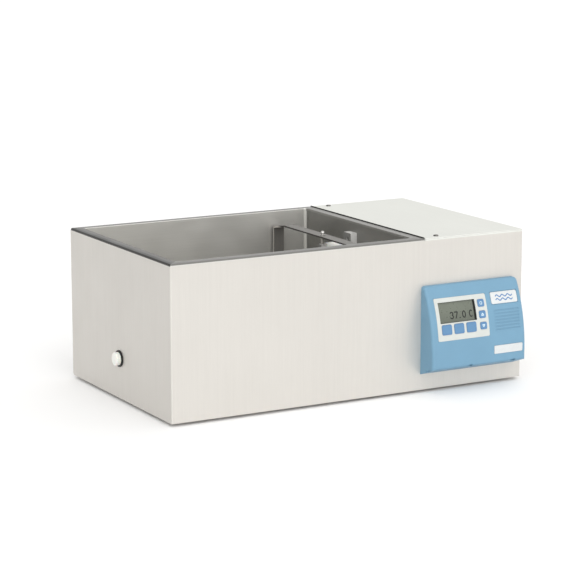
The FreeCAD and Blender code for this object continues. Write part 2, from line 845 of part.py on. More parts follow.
def drain():
    """Drain spigot through tank wall and casing, with its nut, collar, seal and cap."""
    z = size("drain_z")
    x0 = size("tank_left")
    thread = size("drain_thread")
    bore = size("drain_bore")
    tip = 0 - SPIGOT_REACH
    tube = bar("X", tip, mid_y, z, thread, x0 - tip)
    head = bar("X", x0, mid_y, z, DRAIN_HEAD, DRAIN_HEAD_THICK)
    passage = bar("X", tip - 1, mid_y, z, bore, x0 - tip + 6)
    register(cut(fuse(tube, head), passage), "drain_spigot")
    wall_side = x0 - sheet_thick
    nut = prism("X", wall_side - NUT_THICK, mid_y, z, DRAIN_NUT, NUT_THICK)
    nut_bore = bar("X", 0, mid_y, z, thread + running_gap, x0)
    register(cut(nut, nut_bore), "drain_nut")
    collar = ring("X", 0 - COLLAR_THICK, mid_y, z, COLLAR_RADIUS, thread + running_gap, COLLAR_THICK)
    register(collar, "drain_collar")
    seal_x = 0 - SPIGOT_REACH - SEAL_GAP - SEAL_THICK
    register(ring("X", seal_x, mid_y, z, thread - 0.6, bore - 1.5, SEAL_THICK), "drain_seal")
    drain_cap(seal_x)


def drain_cap(seal_x):
    """White screw cap with grip flutes round its side."""
    reach = size("cap_reach")
    radius = size("cap_radius")
    body = new_body("drain_cap")
    skirt = reach - COLLAR_THICK - CAP_GAP
    pad(body, "YZ", 0 - reach, skirt, circle, mid_y, size("drain_z"), radius)
    fillet(body, CAP_ROUND, lambda edge: near(edge.BoundBox.XMax, 0 - float(reach)))
    pocket(body, "YZ", seal_x - SEAL_GAP, reach, circle, mid_y, size("drain_z"),
           size("drain_thread") + running_gap)
    for i in range(CAP_FLUTES):
        angle = 2 * math.pi * i / CAP_FLUTES
        flute_y = mid_y + (radius + CAP_FLUTE * 0.6) * math.cos(angle)
        flute_z = size("drain_z") + (radius + CAP_FLUTE * 0.6) * math.sin(angle)
        pocket(body, "YZ", 0 - reach + CAP_ROUND, reach, circle, flute_y, flute_z, CAP_FLUTE)


# ---- carriage

def wheel_spots():
    """The wheels' lowest y, at the front and at the back."""
    first = size("tray_front") + WHEEL_INSET
    return [first, size("tray_front") + size("tray_width") - WHEEL_INSET - size("wheel_width")]


def axle_spots():
    tray_end = size("tray_left") + size("tray_length")
    return {"left": size("tray_left") + LEFT_AXLE_INSET, "right": tray_end - RIGHT_AXLE_INSET}


def axle_height():
    return tank_floor + size("rail_height") + WHEEL_FLOAT + size("wheel_radius")


def tray():
    """Shallow perforated tray with ears underneath that hold the axles."""
    body = new_body("tray")
    x, y, z = size("tray_left"), size("tray_front"), size("tray_floor")
    length, width = size("tray_length"), size("tray_width")
    corner = [(float(a), float(b)) for a in (x, x + length) for b in (y, y + width)]
    pad(body, "XY", z, size("tray_wall"), rectangle, x, y, length, width)
    fillet(body, TRAY_CORNER, upright_at(corner))
    pocket(body, "XY", z + sheet_thick, size("tray_wall"), rectangle,
           x + sheet_thick, y + sheet_thick, length - 2 * sheet_thick, width - 2 * sheet_thick)
    column = pocket(body, "XY", z - 1, sheet_thick + 2, tray_column, x + TRAY_MARGIN, y, width)
    pattern = body.newObject("PartDesign::LinearPattern", "Columns")
    pattern.Originals = [column]
    pattern.Direction = (body.Origin.OriginFeatures[0], [""])
    bind(pattern, "Length", length - 2 * TRAY_MARGIN)
    pattern.Occurrences = TRAY_COLUMNS
    body.Tip = pattern
    ear_z = axle_height() - EAR_DROP
    for axle_x in axle_spots().values():
        for wheel_y in wheel_spots():
            ear_y = ear_beside(wheel_y)
            pad(body, "XY", ear_z, z - ear_z + sheet_thick / 2, rectangle,
                axle_x - EAR_WIDTH / 2, ear_y, EAR_WIDTH, EAR_THICK)
            pocket(body, "XZ", ear_y - 1, EAR_THICK + 2, circle, axle_x, axle_height(),
                   AXLE_RADIUS + running_gap)
    return body


def ear_beside(wheel_y):
    """The y of the ear on the inner side of a wheel."""
    inner_side = wheel_y + size("wheel_width") + 1
    return inner_side if float(wheel_y) < float(mid_y) else wheel_y - 1 - EAR_THICK


def tray_column(sketch, x, y, width):
    """One line of round holes across the tray's floor."""
    step = (width - 2 * TRAY_MARGIN) / (TRAY_ROWS - 1)
    for i in range(TRAY_ROWS):
        circle(sketch, x, y + TRAY_MARGIN + step * i, TRAY_HOLE)


def axle_sets():
    """Two axles, each with a nylon wheel at both ends."""
    for side, axle_x in axle_spots().items():
        z = axle_height()
        y0, y1 = wheel_spots()
        width = size("wheel_width")
        axle = bar("Y", axle_x, y0 - AXLE_END, z, AXLE_RADIUS, y1 - y0 + width + 2 * AXLE_END)
        register(axle, f"{side}_axle")
        wheels = [ring("Y", axle_x, y, z, size("wheel_radius"), AXLE_RADIUS, width) for y in (y0, y1)]
        group(f"{side}_wheels", wheels)


def yoke():
    """Strap bent into an arch over the tray, with the drive pin's hole in its middle."""
    body = new_body("yoke")
    thick = size("yoke_thick")
    y0 = size("tray_front") - thick - 0.02
    y1 = size("tray_front") + size("tray_width") + thick + 0.02
    foot = size("tray_floor") + YOKE_FOOT
    shoulder = size("yoke_shoulder")
    top = size("yoke_top")
    inner = [(y0 + thick, foot), (y0 + thick, shoulder - thick), (y0 + YOKE_SLOPE, top - thick),
             (y1 - YOKE_SLOPE, top - thick), (y1 - thick, shoulder - thick), (y1 - thick, foot)]
    outer = [(y1, foot), (y1, shoulder), (y1 - YOKE_SLOPE, top),
             (y0 + YOKE_SLOPE, top), (y0, shoulder), (y0, foot)]
    pad(body, "YZ", size("yoke_x"), size("yoke_width"), outline, inner + outer)
    pocket(body, "XY", top - 10, 15, circle, pin_x(), drive_y, PIN_RADIUS)
    for z in yoke_screw_heights():
        pocket(body, "XZ", 0, case_depth, circle, pin_x(), z, SCREW_RADIUS)


def yoke_screw_heights():
    return [size("tray_floor") + YOKE_FOOT + YOKE_SCREW_RISE]


def pin_x():
    return size("yoke_x") + size("yoke_width") / 2


def yoke_screws():
    """Screws that hold the yoke's legs to the tray."""
    thick = size("yoke_thick")
    y0 = size("tray_front") - thick
    y1 = size("tray_front") + size("tray_width") + thick
    solids = []
    for z in yoke_screw_heights():
        solids.append(fuse(bar("Y", pin_x(), y0 - 1.6, z, SCREW_RADIUS * 2, 1.58),
                           bar("Y", pin_x(), y0 - 0.5, z, SCREW_RADIUS, 3)))
        solids.append(fuse(bar("Y", pin_x(), y1 + 0.02, z, SCREW_RADIUS * 2, 1.58),
                           bar("Y", pin_x(), y1 - 2.5, z, SCREW_RADIUS, 3)))
    group("yoke_screws", solids)


def drive_pin():
    """Upright pin with a ball head that drops through the yoke into the drive block."""
    top = size("yoke_top")
    shank = bar("Z", pin_x(), drive_y, drive_z - 3, PIN_RADIUS, top - drive_z + 6)
    washer = bar("Z", pin_x(), drive_y, top, PIN_RADIUS + 1.6, 1)
    ball = doc.addObject("Part::Sphere", "Ball")
    bind(ball, "Radius", PIN_BALL)
    place(ball, pin_x(), drive_y, top + 1 + PIN_BALL * 0.75)
    register(fuse(shank, washer, ball), "drive_pin")


# ---- drive

def drive_line():
    """Drive block, rod, sleeve and crosshead, which slide together."""
    x = pin_x() - DRIVE_BLOCK_LENGTH / 2
    block_z = drive_z - DRIVE_BLOCK_DROP
    head = block(x, drive_y - DRIVE_BLOCK_WIDTH / 2, block_z,
                 DRIVE_BLOCK_LENGTH, DRIVE_BLOCK_WIDTH, DRIVE_BLOCK_TOP - block_z)
    pin_hole = bar("Z", pin_x(), drive_y, block_z + 4, PIN_RADIUS + running_gap, DRIVE_BLOCK_TOP - block_z)
    register(cut(head, pin_hole), "drive_block")
    rod_start = x + DRIVE_BLOCK_LENGTH
    rod_end = size("crosshead_x") - 8
    radius = size("drive_rod_radius")
    register(bar("X", rod_start, drive_y, drive_z, radius, rod_end - rod_start), "drive_rod")
    register(ring("X", rod_start + 0.5, drive_y, drive_z, SLEEVE_RADIUS, radius, SLEEVE_LENGTH), "rod_sleeve")
    crosshead(rod_end)
    crosshead_pin = bar("Z", size("crosshead_x"), drive_y, drive_z - FORK_LENGTH / 2, PIN_RADIUS, FORK_LENGTH)
    register(crosshead_pin, "crosshead_pin")
    bearing_x = BULKHEAD_X + sheet_thick
    housing = block(bearing_x, drive_y - BEARING_SIDE / 2, drive_z - BEARING_SIDE / 2,
                    BEARING_LENGTH, BEARING_SIDE, BEARING_SIDE)
    housing_bore = bar("X", bearing_x - 1, drive_y, drive_z, radius + BUSH_WALL, BEARING_LENGTH + 2)
    register(cut(housing, housing_bore), "bearing_housing")
    bush = ring("X", bearing_x, drive_y, drive_z, radius + BUSH_WALL, radius + running_gap, BEARING_LENGTH)
    register(bush, "rod_bush")


def crosshead(rod_end):
    """Forked block on the end of the drive rod."""
    x = size("crosshead_x")
    fork = block(rod_end - FORK_SOCKET, drive_y - FORK_WIDTH / 2, drive_z - FORK_LENGTH / 2,
                 FORK_LENGTH, FORK_WIDTH, FORK_LENGTH)
    socket = bar("X", rod_end - FORK_SOCKET - 1, drive_y, drive_z, size("drive_rod_radius"), FORK_SOCKET + 1)
    slot = block(rod_end + FORK_SLACK, drive_y - FORK_WIDTH, drive_z - LINK_THICK / 2 - FORK_SLACK,
                 FORK_LENGTH, 2 * FORK_WIDTH, LINK_THICK + 2 * FORK_SLACK)
    pin_hole = bar("Z", x, drive_y, drive_z - FORK_LENGTH, PIN_RADIUS, 2 * FORK_LENGTH)
    register(cut(fork, socket, slot, pin_hole), "crosshead")


def link_offset():
    """Where the crank pin stands from the crank's centre when the carriage is at mid-stroke."""
    dx = 0 - crank_radius * crank_radius / (2 * size("rod_length"))
    return dx, root(crank_radius * crank_radius - dx * dx)


def connecting_rod():
    """Flat link from the crosshead pin to the crank pin."""
    dx, dy = link_offset()
    angle = math.degrees(math.atan2(float(dy), float(size("rod_length") + dx)))
    body = doc.addObject("PartDesign::Body", "Body")
    register(body, "connecting_rod")
    place(body, size("crosshead_x"), drive_y, drive_z - LINK_THICK / 2, FreeCAD.Rotation(V(0, 0, 1), angle))
    length = size("rod_length")
    pad(body, "XY", 0, LINK_THICK, circle, 0, 0, SMALL_EYE)
    pad(body, "XY", 0, LINK_THICK, circle, length, 0, BIG_EYE)
    pad(body, "XY", 0, LINK_THICK, rectangle, 0, -LINK_WIDTH / 2, length, LINK_WIDTH)
    pocket(body, "XY", -1, LINK_THICK + 2, circle, 0, 0, PIN_RADIUS + running_gap)
    pocket(body, "XY", -1, LINK_THICK + 2, circle, length, 0, CRANK_PIN + running_gap)


def crank():
    """Disc with its offset pin. The pin ends just under the link's eye."""
    dx, dy = link_offset()
    disc_top = drive_z - LINK_THICK / 2 - LINK_CLEAR - CRANK_PIN_HEIGHT
    disc_z = disc_top - CRANK_THICK
    disc = bar("Z", crank_x, drive_y, disc_z, CRANK_DISC, CRANK_THICK)
    bore = bar("Z", crank_x, drive_y, disc_z - 1, SHAFT_RADIUS, CRANK_THICK + 2)
    pin = bar("Z", crank_x + dx, drive_y + dy, disc_top - 0.5, CRANK_PIN, CRANK_PIN_HEIGHT + 0.5)
    register(fuse(cut(disc, bore), pin), "crank_disc")
    shaft_z = disc_z - SHAFT_DROP
    register(bar("Z", crank_x, drive_y, shaft_z, SHAFT_RADIUS, SHAFT_DROP + CRANK_THICK), "crank_shaft")
    motor(disc_z - 5)


def motor(plate_top):
    """Gear motor hung under an arched stand that stands on the base pan."""
    plate_z = plate_top - STAND_SHEET
    width = MOTOR_SIDE + 2 * STAND_ROOM
    x = crank_x - width / 2
    y = drive_y - MOTOR_SIDE / 2
    body = new_body("motor_stand")
    pad(body, "XZ", y, MOTOR_SIDE, outline, [
        (x, wrap_base), (x + STAND_SHEET, wrap_base), (x + STAND_SHEET, plate_z),
        (x + width - STAND_SHEET, plate_z), (x + width - STAND_SHEET, wrap_base),
        (x + width, wrap_base), (x + width, plate_top), (x, plate_top)])
    pocket(body, "XY", plate_z - 1, STAND_SHEET + 2, circle, crank_x, drive_y, SHAFT_RADIUS + 4)
    gearbox_z = plate_z - GEARBOX_HEIGHT
    gearbox = block(crank_x - MOTOR_SIDE / 2, y, gearbox_z, MOTOR_SIDE, MOTOR_SIDE, GEARBOX_HEIGHT)
    can = bar("Z", crank_x, drive_y, gearbox_z - MOTOR_HEIGHT, MOTOR_RADIUS, MOTOR_HEIGHT)
    shaft_hole = bar("Z", crank_x, drive_y, gearbox_z + 4, SHAFT_RADIUS + running_gap, GEARBOX_HEIGHT)
    register(cut(fuse(gearbox, can), shaft_hole), "gear_motor")


def control_board():
    """Power board on four standoffs above the base pan."""
    z = wrap_base + STANDOFF_HEIGHT
    plate = block(BOARD_X, BOARD_Y, z, BOARD_LENGTH, BOARD_WIDTH, BOARD_THICK)
    fitted = [block(BOARD_X + x, BOARD_Y + y, z + BOARD_THICK / 2, length, width, height)
              for x, y, length, width, height in BOARD_PARTS]
    register(fuse(plate, *fitted), "control_board")
    spots = [(x, y) for x in (BOARD_X + BOARD_HOLE_INSET, BOARD_X + BOARD_LENGTH - BOARD_HOLE_INSET)
             for y in (BOARD_Y + BOARD_HOLE_INSET, BOARD_Y + BOARD_WIDTH - BOARD_HOLE_INSET)]
    standoffs = [prism("Z", x, y, wrap_base, STANDOFF_RADIUS, STANDOFF_HEIGHT) for x, y in spots]
    group("board_standoffs", standoffs)


# ---- rear connections

def power_inlet():
    """Appliance inlet: a flange outside the panel, a shell behind it and three blades."""
    proud = size("inlet_proud")
    flange_width = INLET_WIDTH + 2 * INLET_FLANGE
    flange_height = INLET_HEIGHT + 2 * INLET_FLANGE
    body = new_body("power_inlet")
    pad(body, "XZ", case_depth, proud, rectangle,
        INLET_X - flange_width / 2, REAR_Z - flange_height / 2, flange_width, flange_height)
    pad(body, "XZ", case_depth - INLET_DEPTH, INLET_DEPTH, rectangle,
        INLET_X - INLET_WIDTH / 2 + PANEL_SLACK, REAR_Z - INLET_HEIGHT / 2 + PANEL_SLACK,
        INLET_WIDTH - 2 * PANEL_SLACK, INLET_HEIGHT - 2 * PANEL_SLACK)
    pocket(body, "XZ", case_depth + proud - SOCKET_DEPTH, SOCKET_DEPTH, rectangle,
           INLET_X - SOCKET_WIDTH / 2, REAR_Z - SOCKET_HEIGHT / 2, SOCKET_WIDTH, SOCKET_HEIGHT)
    for step, rise in BLADES:
        pad(body, "XZ", case_depth + proud - SOCKET_DEPTH - 1, SOCKET_DEPTH - 3, rectangle,
            INLET_X + step - BLADE_WIDTH / 2, REAR_Z - BLADE_HEIGHT + 1 + rise, BLADE_WIDTH, BLADE_HEIGHT)


def power_switch():
    """Rocker switch: a frame in the rear panel and the rocker that tips in it."""
    body = new_body("switch_frame")
    proud = size("inlet_proud") / 2
    pad(body, "XZ", case_depth, proud, rectangle,
        SWITCH_X - SWITCH_WIDTH / 2 - SWITCH_FLANGE, REAR_Z - SWITCH_HEIGHT / 2 - SWITCH_FLANGE,
        SWITCH_WIDTH + 2 * SWITCH_FLANGE, SWITCH_HEIGHT + 2 * SWITCH_FLANGE)
    pad(body, "XZ", case_depth - SWITCH_DEPTH, SWITCH_DEPTH, rectangle,
        SWITCH_X - SWITCH_WIDTH / 2 + PANEL_SLACK, REAR_Z - SWITCH_HEIGHT / 2 + PANEL_SLACK,
        SWITCH_WIDTH - 2 * PANEL_SLACK, SWITCH_HEIGHT - 2 * PANEL_SLACK)
    pocket(body, "XZ", case_depth + proud - ROCKER_WELL, ROCKER_WELL, rectangle,
           SWITCH_X - ROCKER_WIDTH / 2 - 0.3, REAR_Z - ROCKER_WELL_HEIGHT / 2,
           ROCKER_WIDTH + 0.6, ROCKER_WELL_HEIGHT)
    rocker()


def rocker():
    """The rocker, tipped to its off side: two faces that meet in a shallow V over the hinge."""
    body = doc.addObject("PartDesign::Body", "Body")
    register(body, "switch_rocker")
    place(body, SWITCH_X - ROCKER_WIDTH / 2, rocker_hinge_y(), REAR_Z,
          FreeCAD.Rotation(V(1, 0, 0), -ROCKER_TILT))
    half = ROCKER_LENGTH / 2
    pad(body, "YZ", 0, ROCKER_WIDTH, outline, [
        (-ROCKER_BACK, -half + ROCKER_TAPER), (ROCKER_FACE, -half), (ROCKER_FACE - ROCKER_HOLLOW, 0),
        (ROCKER_FACE, half), (-ROCKER_BACK, half - ROCKER_TAPER)])


def rocker_hinge_y():
    return case_depth - ROCKER_HINGE_DEEP


# ---- control pod

pod_left, pod_right = size("pod_left"), size("pod_right")
crown_z = size("pod_crown_z")
face_rise = size("pod_top") - crown_z
face_fall = size("pod_face_reach") - size("pod_top_reach")
face_radius = (face_fall * face_fall + face_rise * face_rise) / (2 * face_fall)
face_centre_y = face_radius - size("pod_face_reach")


def face_y(radius, z):
    """The y of the curved face, or of a surface parallel to it, at a height."""
    rise = as_size(z) - crown_z
    return face_centre_y - root(radius * radius - rise * rise)


def face_band(sketch, z0, z1, inner, outer):
    """Slice between two surfaces parallel to the pod's curved face, seen from the side."""
    outline(sketch, [(face_y(inner, z0), z0), (face_y(outer, z0), z0),
                     (face_y(outer, z1), z1), (face_y(inner, z1), z1)],
            {1: (face_centre_y, crown_z, outer), 3: (face_centre_y, crown_z, inner)})


def pod_outline(sketch, inset):
    """The pod from the side: chin, upright lower face, curved upper face and top."""
    inset = as_size(inset)
    radius = face_radius - inset
    low_y = inset - size("pod_face_reach")
    chin = size("pod_chin") + inset
    top = size("pod_top") - inset
    outline(sketch, [(0, size("pod_base") + inset * 1.2), (low_y, chin), (low_y, crown_z),
                     (face_y(radius, top), top), (0, top)], {2: (face_centre_y, crown_z, radius)})


def on_face(edge):
    """True for edges on the pod's outer face or its upright lower part."""
    spot = edge.valueAt((edge.FirstParameter + edge.LastParameter) / 2)
    if spot.z < float(crown_z):
        return near(spot.y, 0 - float(size("pod_face_reach")))
    reach = math.hypot(spot.y - float(face_centre_y), spot.z - float(crown_z))
    return near(reach, face_radius)


def pod_housing():
    """Moulded shell with a recess for the keypad overlay, a badge recess and grip ribs."""
    body = new_body("pod_housing")
    wall = size("pod_wall")
    width = pod_right - pod_left
    pad(body, "YZ", pod_left, width, pod_outline, 0)
    at_right = along("Y", lambda b: near(b.XMin, pod_right) and near(b.ZMin, size("pod_top")))
    at_left = along("Y", lambda b: near(b.XMin, pod_left) and near(b.ZMin, size("pod_top")))
    fillet(body, POD_BIG_CORNER, at_right)
    fillet(body, POD_SMALL_CORNER, at_left)
    fillet(body, POD_EDGE, lambda e: on_face(e) and not crown_seam(e))
    pocket(body, "YZ", pod_left + wall, width - 2 * wall, pod_outline, wall)
    recess = face_radius - OVERLAY_THICK
    beyond = face_radius + 5
    pocket(body, "YZ", OVERLAY_X0 - OVERLAY_SLACK, OVERLAY_X1 - OVERLAY_X0 + 2 * OVERLAY_SLACK, face_band,
           OVERLAY_Z0 - OVERLAY_SLACK, OVERLAY_Z1 + OVERLAY_SLACK, recess, beyond)
    pocket(body, "YZ", OVERLAY_X0 + OVERLAY_LEDGE, OVERLAY_X1 - OVERLAY_X0 - 2 * OVERLAY_LEDGE, face_band,
           OVERLAY_Z0 + OVERLAY_LOW_LEDGE, OVERLAY_Z1 - OVERLAY_LEDGE, face_radius - wall - 2, beyond)
    pocket(body, "YZ", BADGE_X0 - BADGE_MARGIN, BADGE_X1 - BADGE_X0 + 2 * BADGE_MARGIN, face_band,
           BADGE_Z0 - BADGE_MARGIN, BADGE_Z1 + BADGE_MARGIN, face_radius - BADGE_DEEP, beyond)
    pocket(body, "XZ", 0 - size("pod_face_reach"), LABEL_DEEP, rectangle,
           LABEL_X0 - LABEL_SLACK, LABEL_Z0 - LABEL_SLACK,
           LABEL_X1 - LABEL_X0 + 2 * LABEL_SLACK, LABEL_Z1 - LABEL_Z0 + 2 * LABEL_SLACK)
    for i in range(RIB_COUNT):
        z = RIB_Z0 + (RIB_Z1 - RIB_Z0 - RIB_HEIGHT) * i / (RIB_COUNT - 1)
        pocket(body, "YZ", RIB_X0, RIB_X1 - RIB_X0, face_band, z, z + RIB_HEIGHT,
               face_radius - RIB_DEEP, beyond)
    for x in NOTCHES:
        pocket(body, "XZ", 0 - size("pod_face_reach") - 1, NOTCH_DEEP + 1, rectangle,
               x, size("pod_base"), NOTCH_WIDTH, size("pod_chin") - size("pod_base") + NOTCH_RISE)
    y0, y1 = SIDE_NOTCH_Y0, SIDE_NOTCH_Y1
    pocket(body, "YZ", pod_left - 1, wall + 2, outline, [
        (y0, size("pod_base")), (y1, size("pod_base")),
        (y1, chin_z(y1) + NOTCH_RISE), (y0, chin_z(y0) + NOTCH_RISE)])


def chin_z(y):
    """Height of the sloping underside of the pod at a distance in front of the casing."""
    return size("pod_base") - y * (size("pod_chin") - size("pod_base")) / size("pod_face_reach")


def crown_seam(edge):
    """True for the line across the face where its flat part turns into the curved part."""
    box_of = edge.BoundBox
    return near(box_of.ZMin, crown_z) and near(box_of.ZMax, crown_z)


def pod_back_plate():
    """Flat plate that closes the pod and screws to the casing."""
    wall = size("pod_wall")
    body = new_body("pod_back_plate")
    z0 = size("pod_base") + wall + 2
    pad(body, "XZ", -POD_PLATE_THICK, POD_PLATE_THICK, rectangle, pod_left + wall + 0.5, z0,
        pod_right - pod_left - 2 * wall - 1, size("pod_top") - wall - 10 - z0)
    pocket(body, "XZ", -3, 4, circle, POD_CABLE_X, POD_CABLE_Z, POD_CABLE_HOLE)
    for x, z in pod_screw_spots():
        pad(body, "XZ", -POD_BOSS_REACH, POD_BOSS_REACH - POD_PLATE_THICK / 2, circle, x, z, POD_BOSS_RADIUS)
        pocket(body, "XZ", -POD_BOSS_REACH, POD_BOSS_REACH + 1, circle, x, z, SCREW_RADIUS)


def pod_screw_spots():
    return [(x, z) for x in (pod_left + 14, pod_right - 14)
            for z in (size("pod_chin") + 6, size("pod_top") - 26)]


def pod_grommet():
    """Rubber grommet round the pod's cable hole in the casing."""
    bore = POD_CABLE_HOLE - GROMMET_WALL
    inner = ring("Y", POD_CABLE_X, sheet_thick, POD_CABLE_Z, POD_CABLE_HOLE + 2.5, bore, 1.5)
    middle = ring("Y", POD_CABLE_X, -POD_PLATE_THICK, POD_CABLE_Z, POD_CABLE_HOLE - 0.1, bore,
                  POD_PLATE_THICK + sheet_thick + 0.2)
    register(fuse(inner, middle), "pod_grommet")


def overlay():
    """Pale keypad overlay with a window and six key holes."""
    body = new_body("keypad_overlay")
    recess = face_radius - OVERLAY_THICK
    beyond = face_radius + 3
    pad(body, "YZ", OVERLAY_X0, OVERLAY_X1 - OVERLAY_X0, face_band,
        OVERLAY_Z0, OVERLAY_Z1, recess, face_radius + OVERLAY_PROUD)
    gap = size("key_gap")
    openings = [(WINDOW_X0, WINDOW_X1, WINDOW_Z0, WINDOW_Z1)]
    for x0, x1, z0, z1 in key_spots().values():
        openings.append((x0 - gap, x1 + gap, z0 - gap, z1 + gap))
    for x0, x1, z0, z1 in openings:
        pocket(body, "YZ", x0, x1 - x0, face_band, z0, z1, recess - 2, beyond)
    fillet(body, OVERLAY_ROUND, corner_edges(OVERLAY_X0, OVERLAY_X1))
    fillet(body, KEY_ROUND + size("key_gap"), key_hole_corners)


def corner_edges(x0, x1):
    """Short edges across a plate's thickness at its two ends."""
    return lambda e: (e.BoundBox.XLength < 0.01 and e.Length < 8 and is_straight(e)
                      and (near(e.BoundBox.XMin, x0) or near(e.BoundBox.XMin, x1)))


def key_hole_corners(edge):
    """Short edges across the overlay's thickness at the key holes."""
    spot = edge.BoundBox
    inside_x = float(OVERLAY_X0) + 3 < spot.XMin < float(OVERLAY_X1) - 3
    at_window = (near(spot.XMin, WINDOW_X0) or near(spot.XMin, WINDOW_X1)) and spot.ZMin > WINDOW_Z0 - 0.5
    return spot.XLength < 0.01 and edge.Length < 3 and is_straight(edge) and inside_x and not at_window


def is_straight(edge):
    return edge.Curve.TypeId == "Part::GeomLine"


def key_spots():
    """Each key's x and z limits."""
    spots = {}
    for i in range(3):
        x = SOFT_KEY_X + size("key_pitch") * i
        spots[f"soft_key_{i + 1}"] = (x - SOFT_KEY_WIDTH / 2, x + SOFT_KEY_WIDTH / 2,
                                      KEY_ROW_Z - SOFT_KEY_HEIGHT / 2, KEY_ROW_Z + SOFT_KEY_HEIGHT / 2)
    for i, name in enumerate(("down_key", "up_key", "power_key")):
        z = KEY_ROW_Z + SMALL_KEY_PITCH * i
        spots[name] = (as_size(SMALL_KEY_X - SMALL_KEY_WIDTH / 2), as_size(SMALL_KEY_X + SMALL_KEY_WIDTH / 2),
                       z - SMALL_KEY_HEIGHT / 2, z + SMALL_KEY_HEIGHT / 2)
    return spots


def keys():
    """Six keys that stand just proud of the overlay."""
    for name, (x0, x1, z0, z1) in key_spots().items():
        body = new_body(name)
        pad(body, "YZ", x0, x1 - x0, face_band, z0, z1, face_radius - KEY_DEEP,
            face_radius + OVERLAY_PROUD + KEY_PROUD)
        fillet(body, KEY_ROUND, corner_edges(x0, x1))


def display():
    """Dark frame behind the overlay's window, the pane in it and the board behind both."""
    body = new_body("display_frame")
    front_face = face_radius - OVERLAY_THICK - 0.1
    pad(body, "YZ", WINDOW_X0 - 2, WINDOW_X1 - WINDOW_X0 + 4.5, face_band,
        WINDOW_Z0 - 1.2, WINDOW_Z1 + 2, face_radius - FRAME_DEEP, front_face)
    pocket(body, "YZ", WINDOW_X0, WINDOW_X1 - WINDOW_X0, face_band, WINDOW_Z0, WINDOW_Z1,
           face_radius - FRAME_DEEP - 1, face_radius + 1)
    pane = new_body("display_pane")
    pad(pane, "YZ", WINDOW_X0 + 0.1, WINDOW_X1 - WINDOW_X0 - 0.2, face_band, WINDOW_Z0 + 0.1, WINDOW_Z1 - 0.1,
        face_radius - FRAME_DEEP + 1, face_radius - PANE_DEEP)
    middle_z = (OVERLAY_Z0 + OVERLAY_Z1) / 2
    lean = math.degrees(math.asin(float((middle_z - crown_z) / face_radius)))
    turn = FreeCAD.Rotation(V(1, 0, 0), -lean)
    half = DISPLAY_BOARD_HEIGHT / 2
    middle_y = face_y(face_radius - DISPLAY_BOARD_DEEP, middle_z)
    corner = turn.multVec(V(0, 0, -half))
    board = block(OVERLAY_X0 + 8, middle_y + corner.y, middle_z + corner.z,
                  OVERLAY_X1 - OVERLAY_X0 - 16, DISPLAY_BOARD_THICK, DISPLAY_BOARD_HEIGHT, turn)
    register(board, "display_board")


def pod_plates():
    """Blank badge plate on the curved face and blank label on the upright lower face."""
    badge = new_body("pod_badge")
    pad(badge, "YZ", BADGE_X0, BADGE_X1 - BADGE_X0, face_band, BADGE_Z0, BADGE_Z1,
        face_radius - BADGE_DEEP, face_radius + 0.1)
    fillet(badge, BADGE_ROUND, corner_edges(BADGE_X0, BADGE_X1))
    label = new_body("pod_label")
    pad(label, "XZ", 0 - pod_reach, LABEL_DEEP + plate_proud, rectangle,
        LABEL_X0, LABEL_Z0, LABEL_X1 - LABEL_X0, LABEL_Z1 - LABEL_Z0)
    fillet(label, LABEL_ROUND, along("Y"))


def build():
    """Makes every sub-part."""
    casing_wrap()
    back_panel()
    base_pan()
    feet()
    casing_screws()
    top_cover()
    cover_screws()
    cover_gasket()
    bulkhead()
    tank()
    tank_insulation()
    heater()
    temperature_probe()
    wheel_rails()
    guide_bracket()
    drain()
    tray()
    axle_sets()
    yoke()
    yoke_screws()
    drive_pin()
    drive_line()
    connecting_rod()
    crank()
    control_board()
    power_inlet()
    power_switch()
    pod_housing()
    pod_back_plate()
    pod_grommet()
    overlay()
    keys()
    display()
    pod_plates()


def check():
    """Stops if anything failed, if a cut took nothing away or if a shape isn't sound."""
    doc.recompute()
    for thing in doc.Objects:
        if any(word in thing.State for word in ("Invalid", "Error")):
            raise RuntimeError(f"{thing.Label} ({thing.Name}) failed: {thing.State}")
    for feature in cuts:
        before = feature.Base if hasattr(feature, "Tool") else feature.BaseFeature
        if feature.Shape.Volume > before.Shape.Volume - 1e-6:
            raise RuntimeError(f"{feature.Name} took nothing away from {before.Label}")
    for label, thing in pieces.items():
        shape = thing.Shape
        if shape.isNull() or not shape.isValid() or not shape.Solids:
            raise RuntimeError(f"{label} isn't a sound solid")


build()
check()
os.makedirs("parts", exist_ok=True)
for label, thing in pieces.items():
    thing.Shape.exportStep(os.path.join("parts", label + ".step"))
print(len(pieces), "sub-parts written")
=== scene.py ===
import json
import math

import bmesh
import bpy
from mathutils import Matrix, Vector
from mathutils.bvhtree import BVHTree


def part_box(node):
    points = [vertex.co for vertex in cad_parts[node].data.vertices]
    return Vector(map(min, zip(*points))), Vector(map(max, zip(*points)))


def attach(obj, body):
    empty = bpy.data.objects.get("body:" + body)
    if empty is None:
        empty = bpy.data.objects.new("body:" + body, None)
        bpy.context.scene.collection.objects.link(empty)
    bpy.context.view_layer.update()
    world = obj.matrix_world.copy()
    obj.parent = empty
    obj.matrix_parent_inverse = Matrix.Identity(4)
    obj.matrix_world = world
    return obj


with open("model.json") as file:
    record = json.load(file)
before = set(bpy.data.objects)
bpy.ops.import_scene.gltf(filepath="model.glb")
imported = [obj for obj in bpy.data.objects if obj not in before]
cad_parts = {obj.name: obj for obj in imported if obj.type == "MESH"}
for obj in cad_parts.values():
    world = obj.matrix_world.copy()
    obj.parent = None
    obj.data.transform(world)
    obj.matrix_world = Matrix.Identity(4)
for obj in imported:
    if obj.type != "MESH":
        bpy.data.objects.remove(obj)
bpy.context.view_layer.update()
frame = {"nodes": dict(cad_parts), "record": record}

MM = 0.001

# Everything is laid out from the casing's datum corner: its left end and front face.
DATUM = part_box("casing_wrap")[0]
RIM_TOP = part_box("tank")[1].z


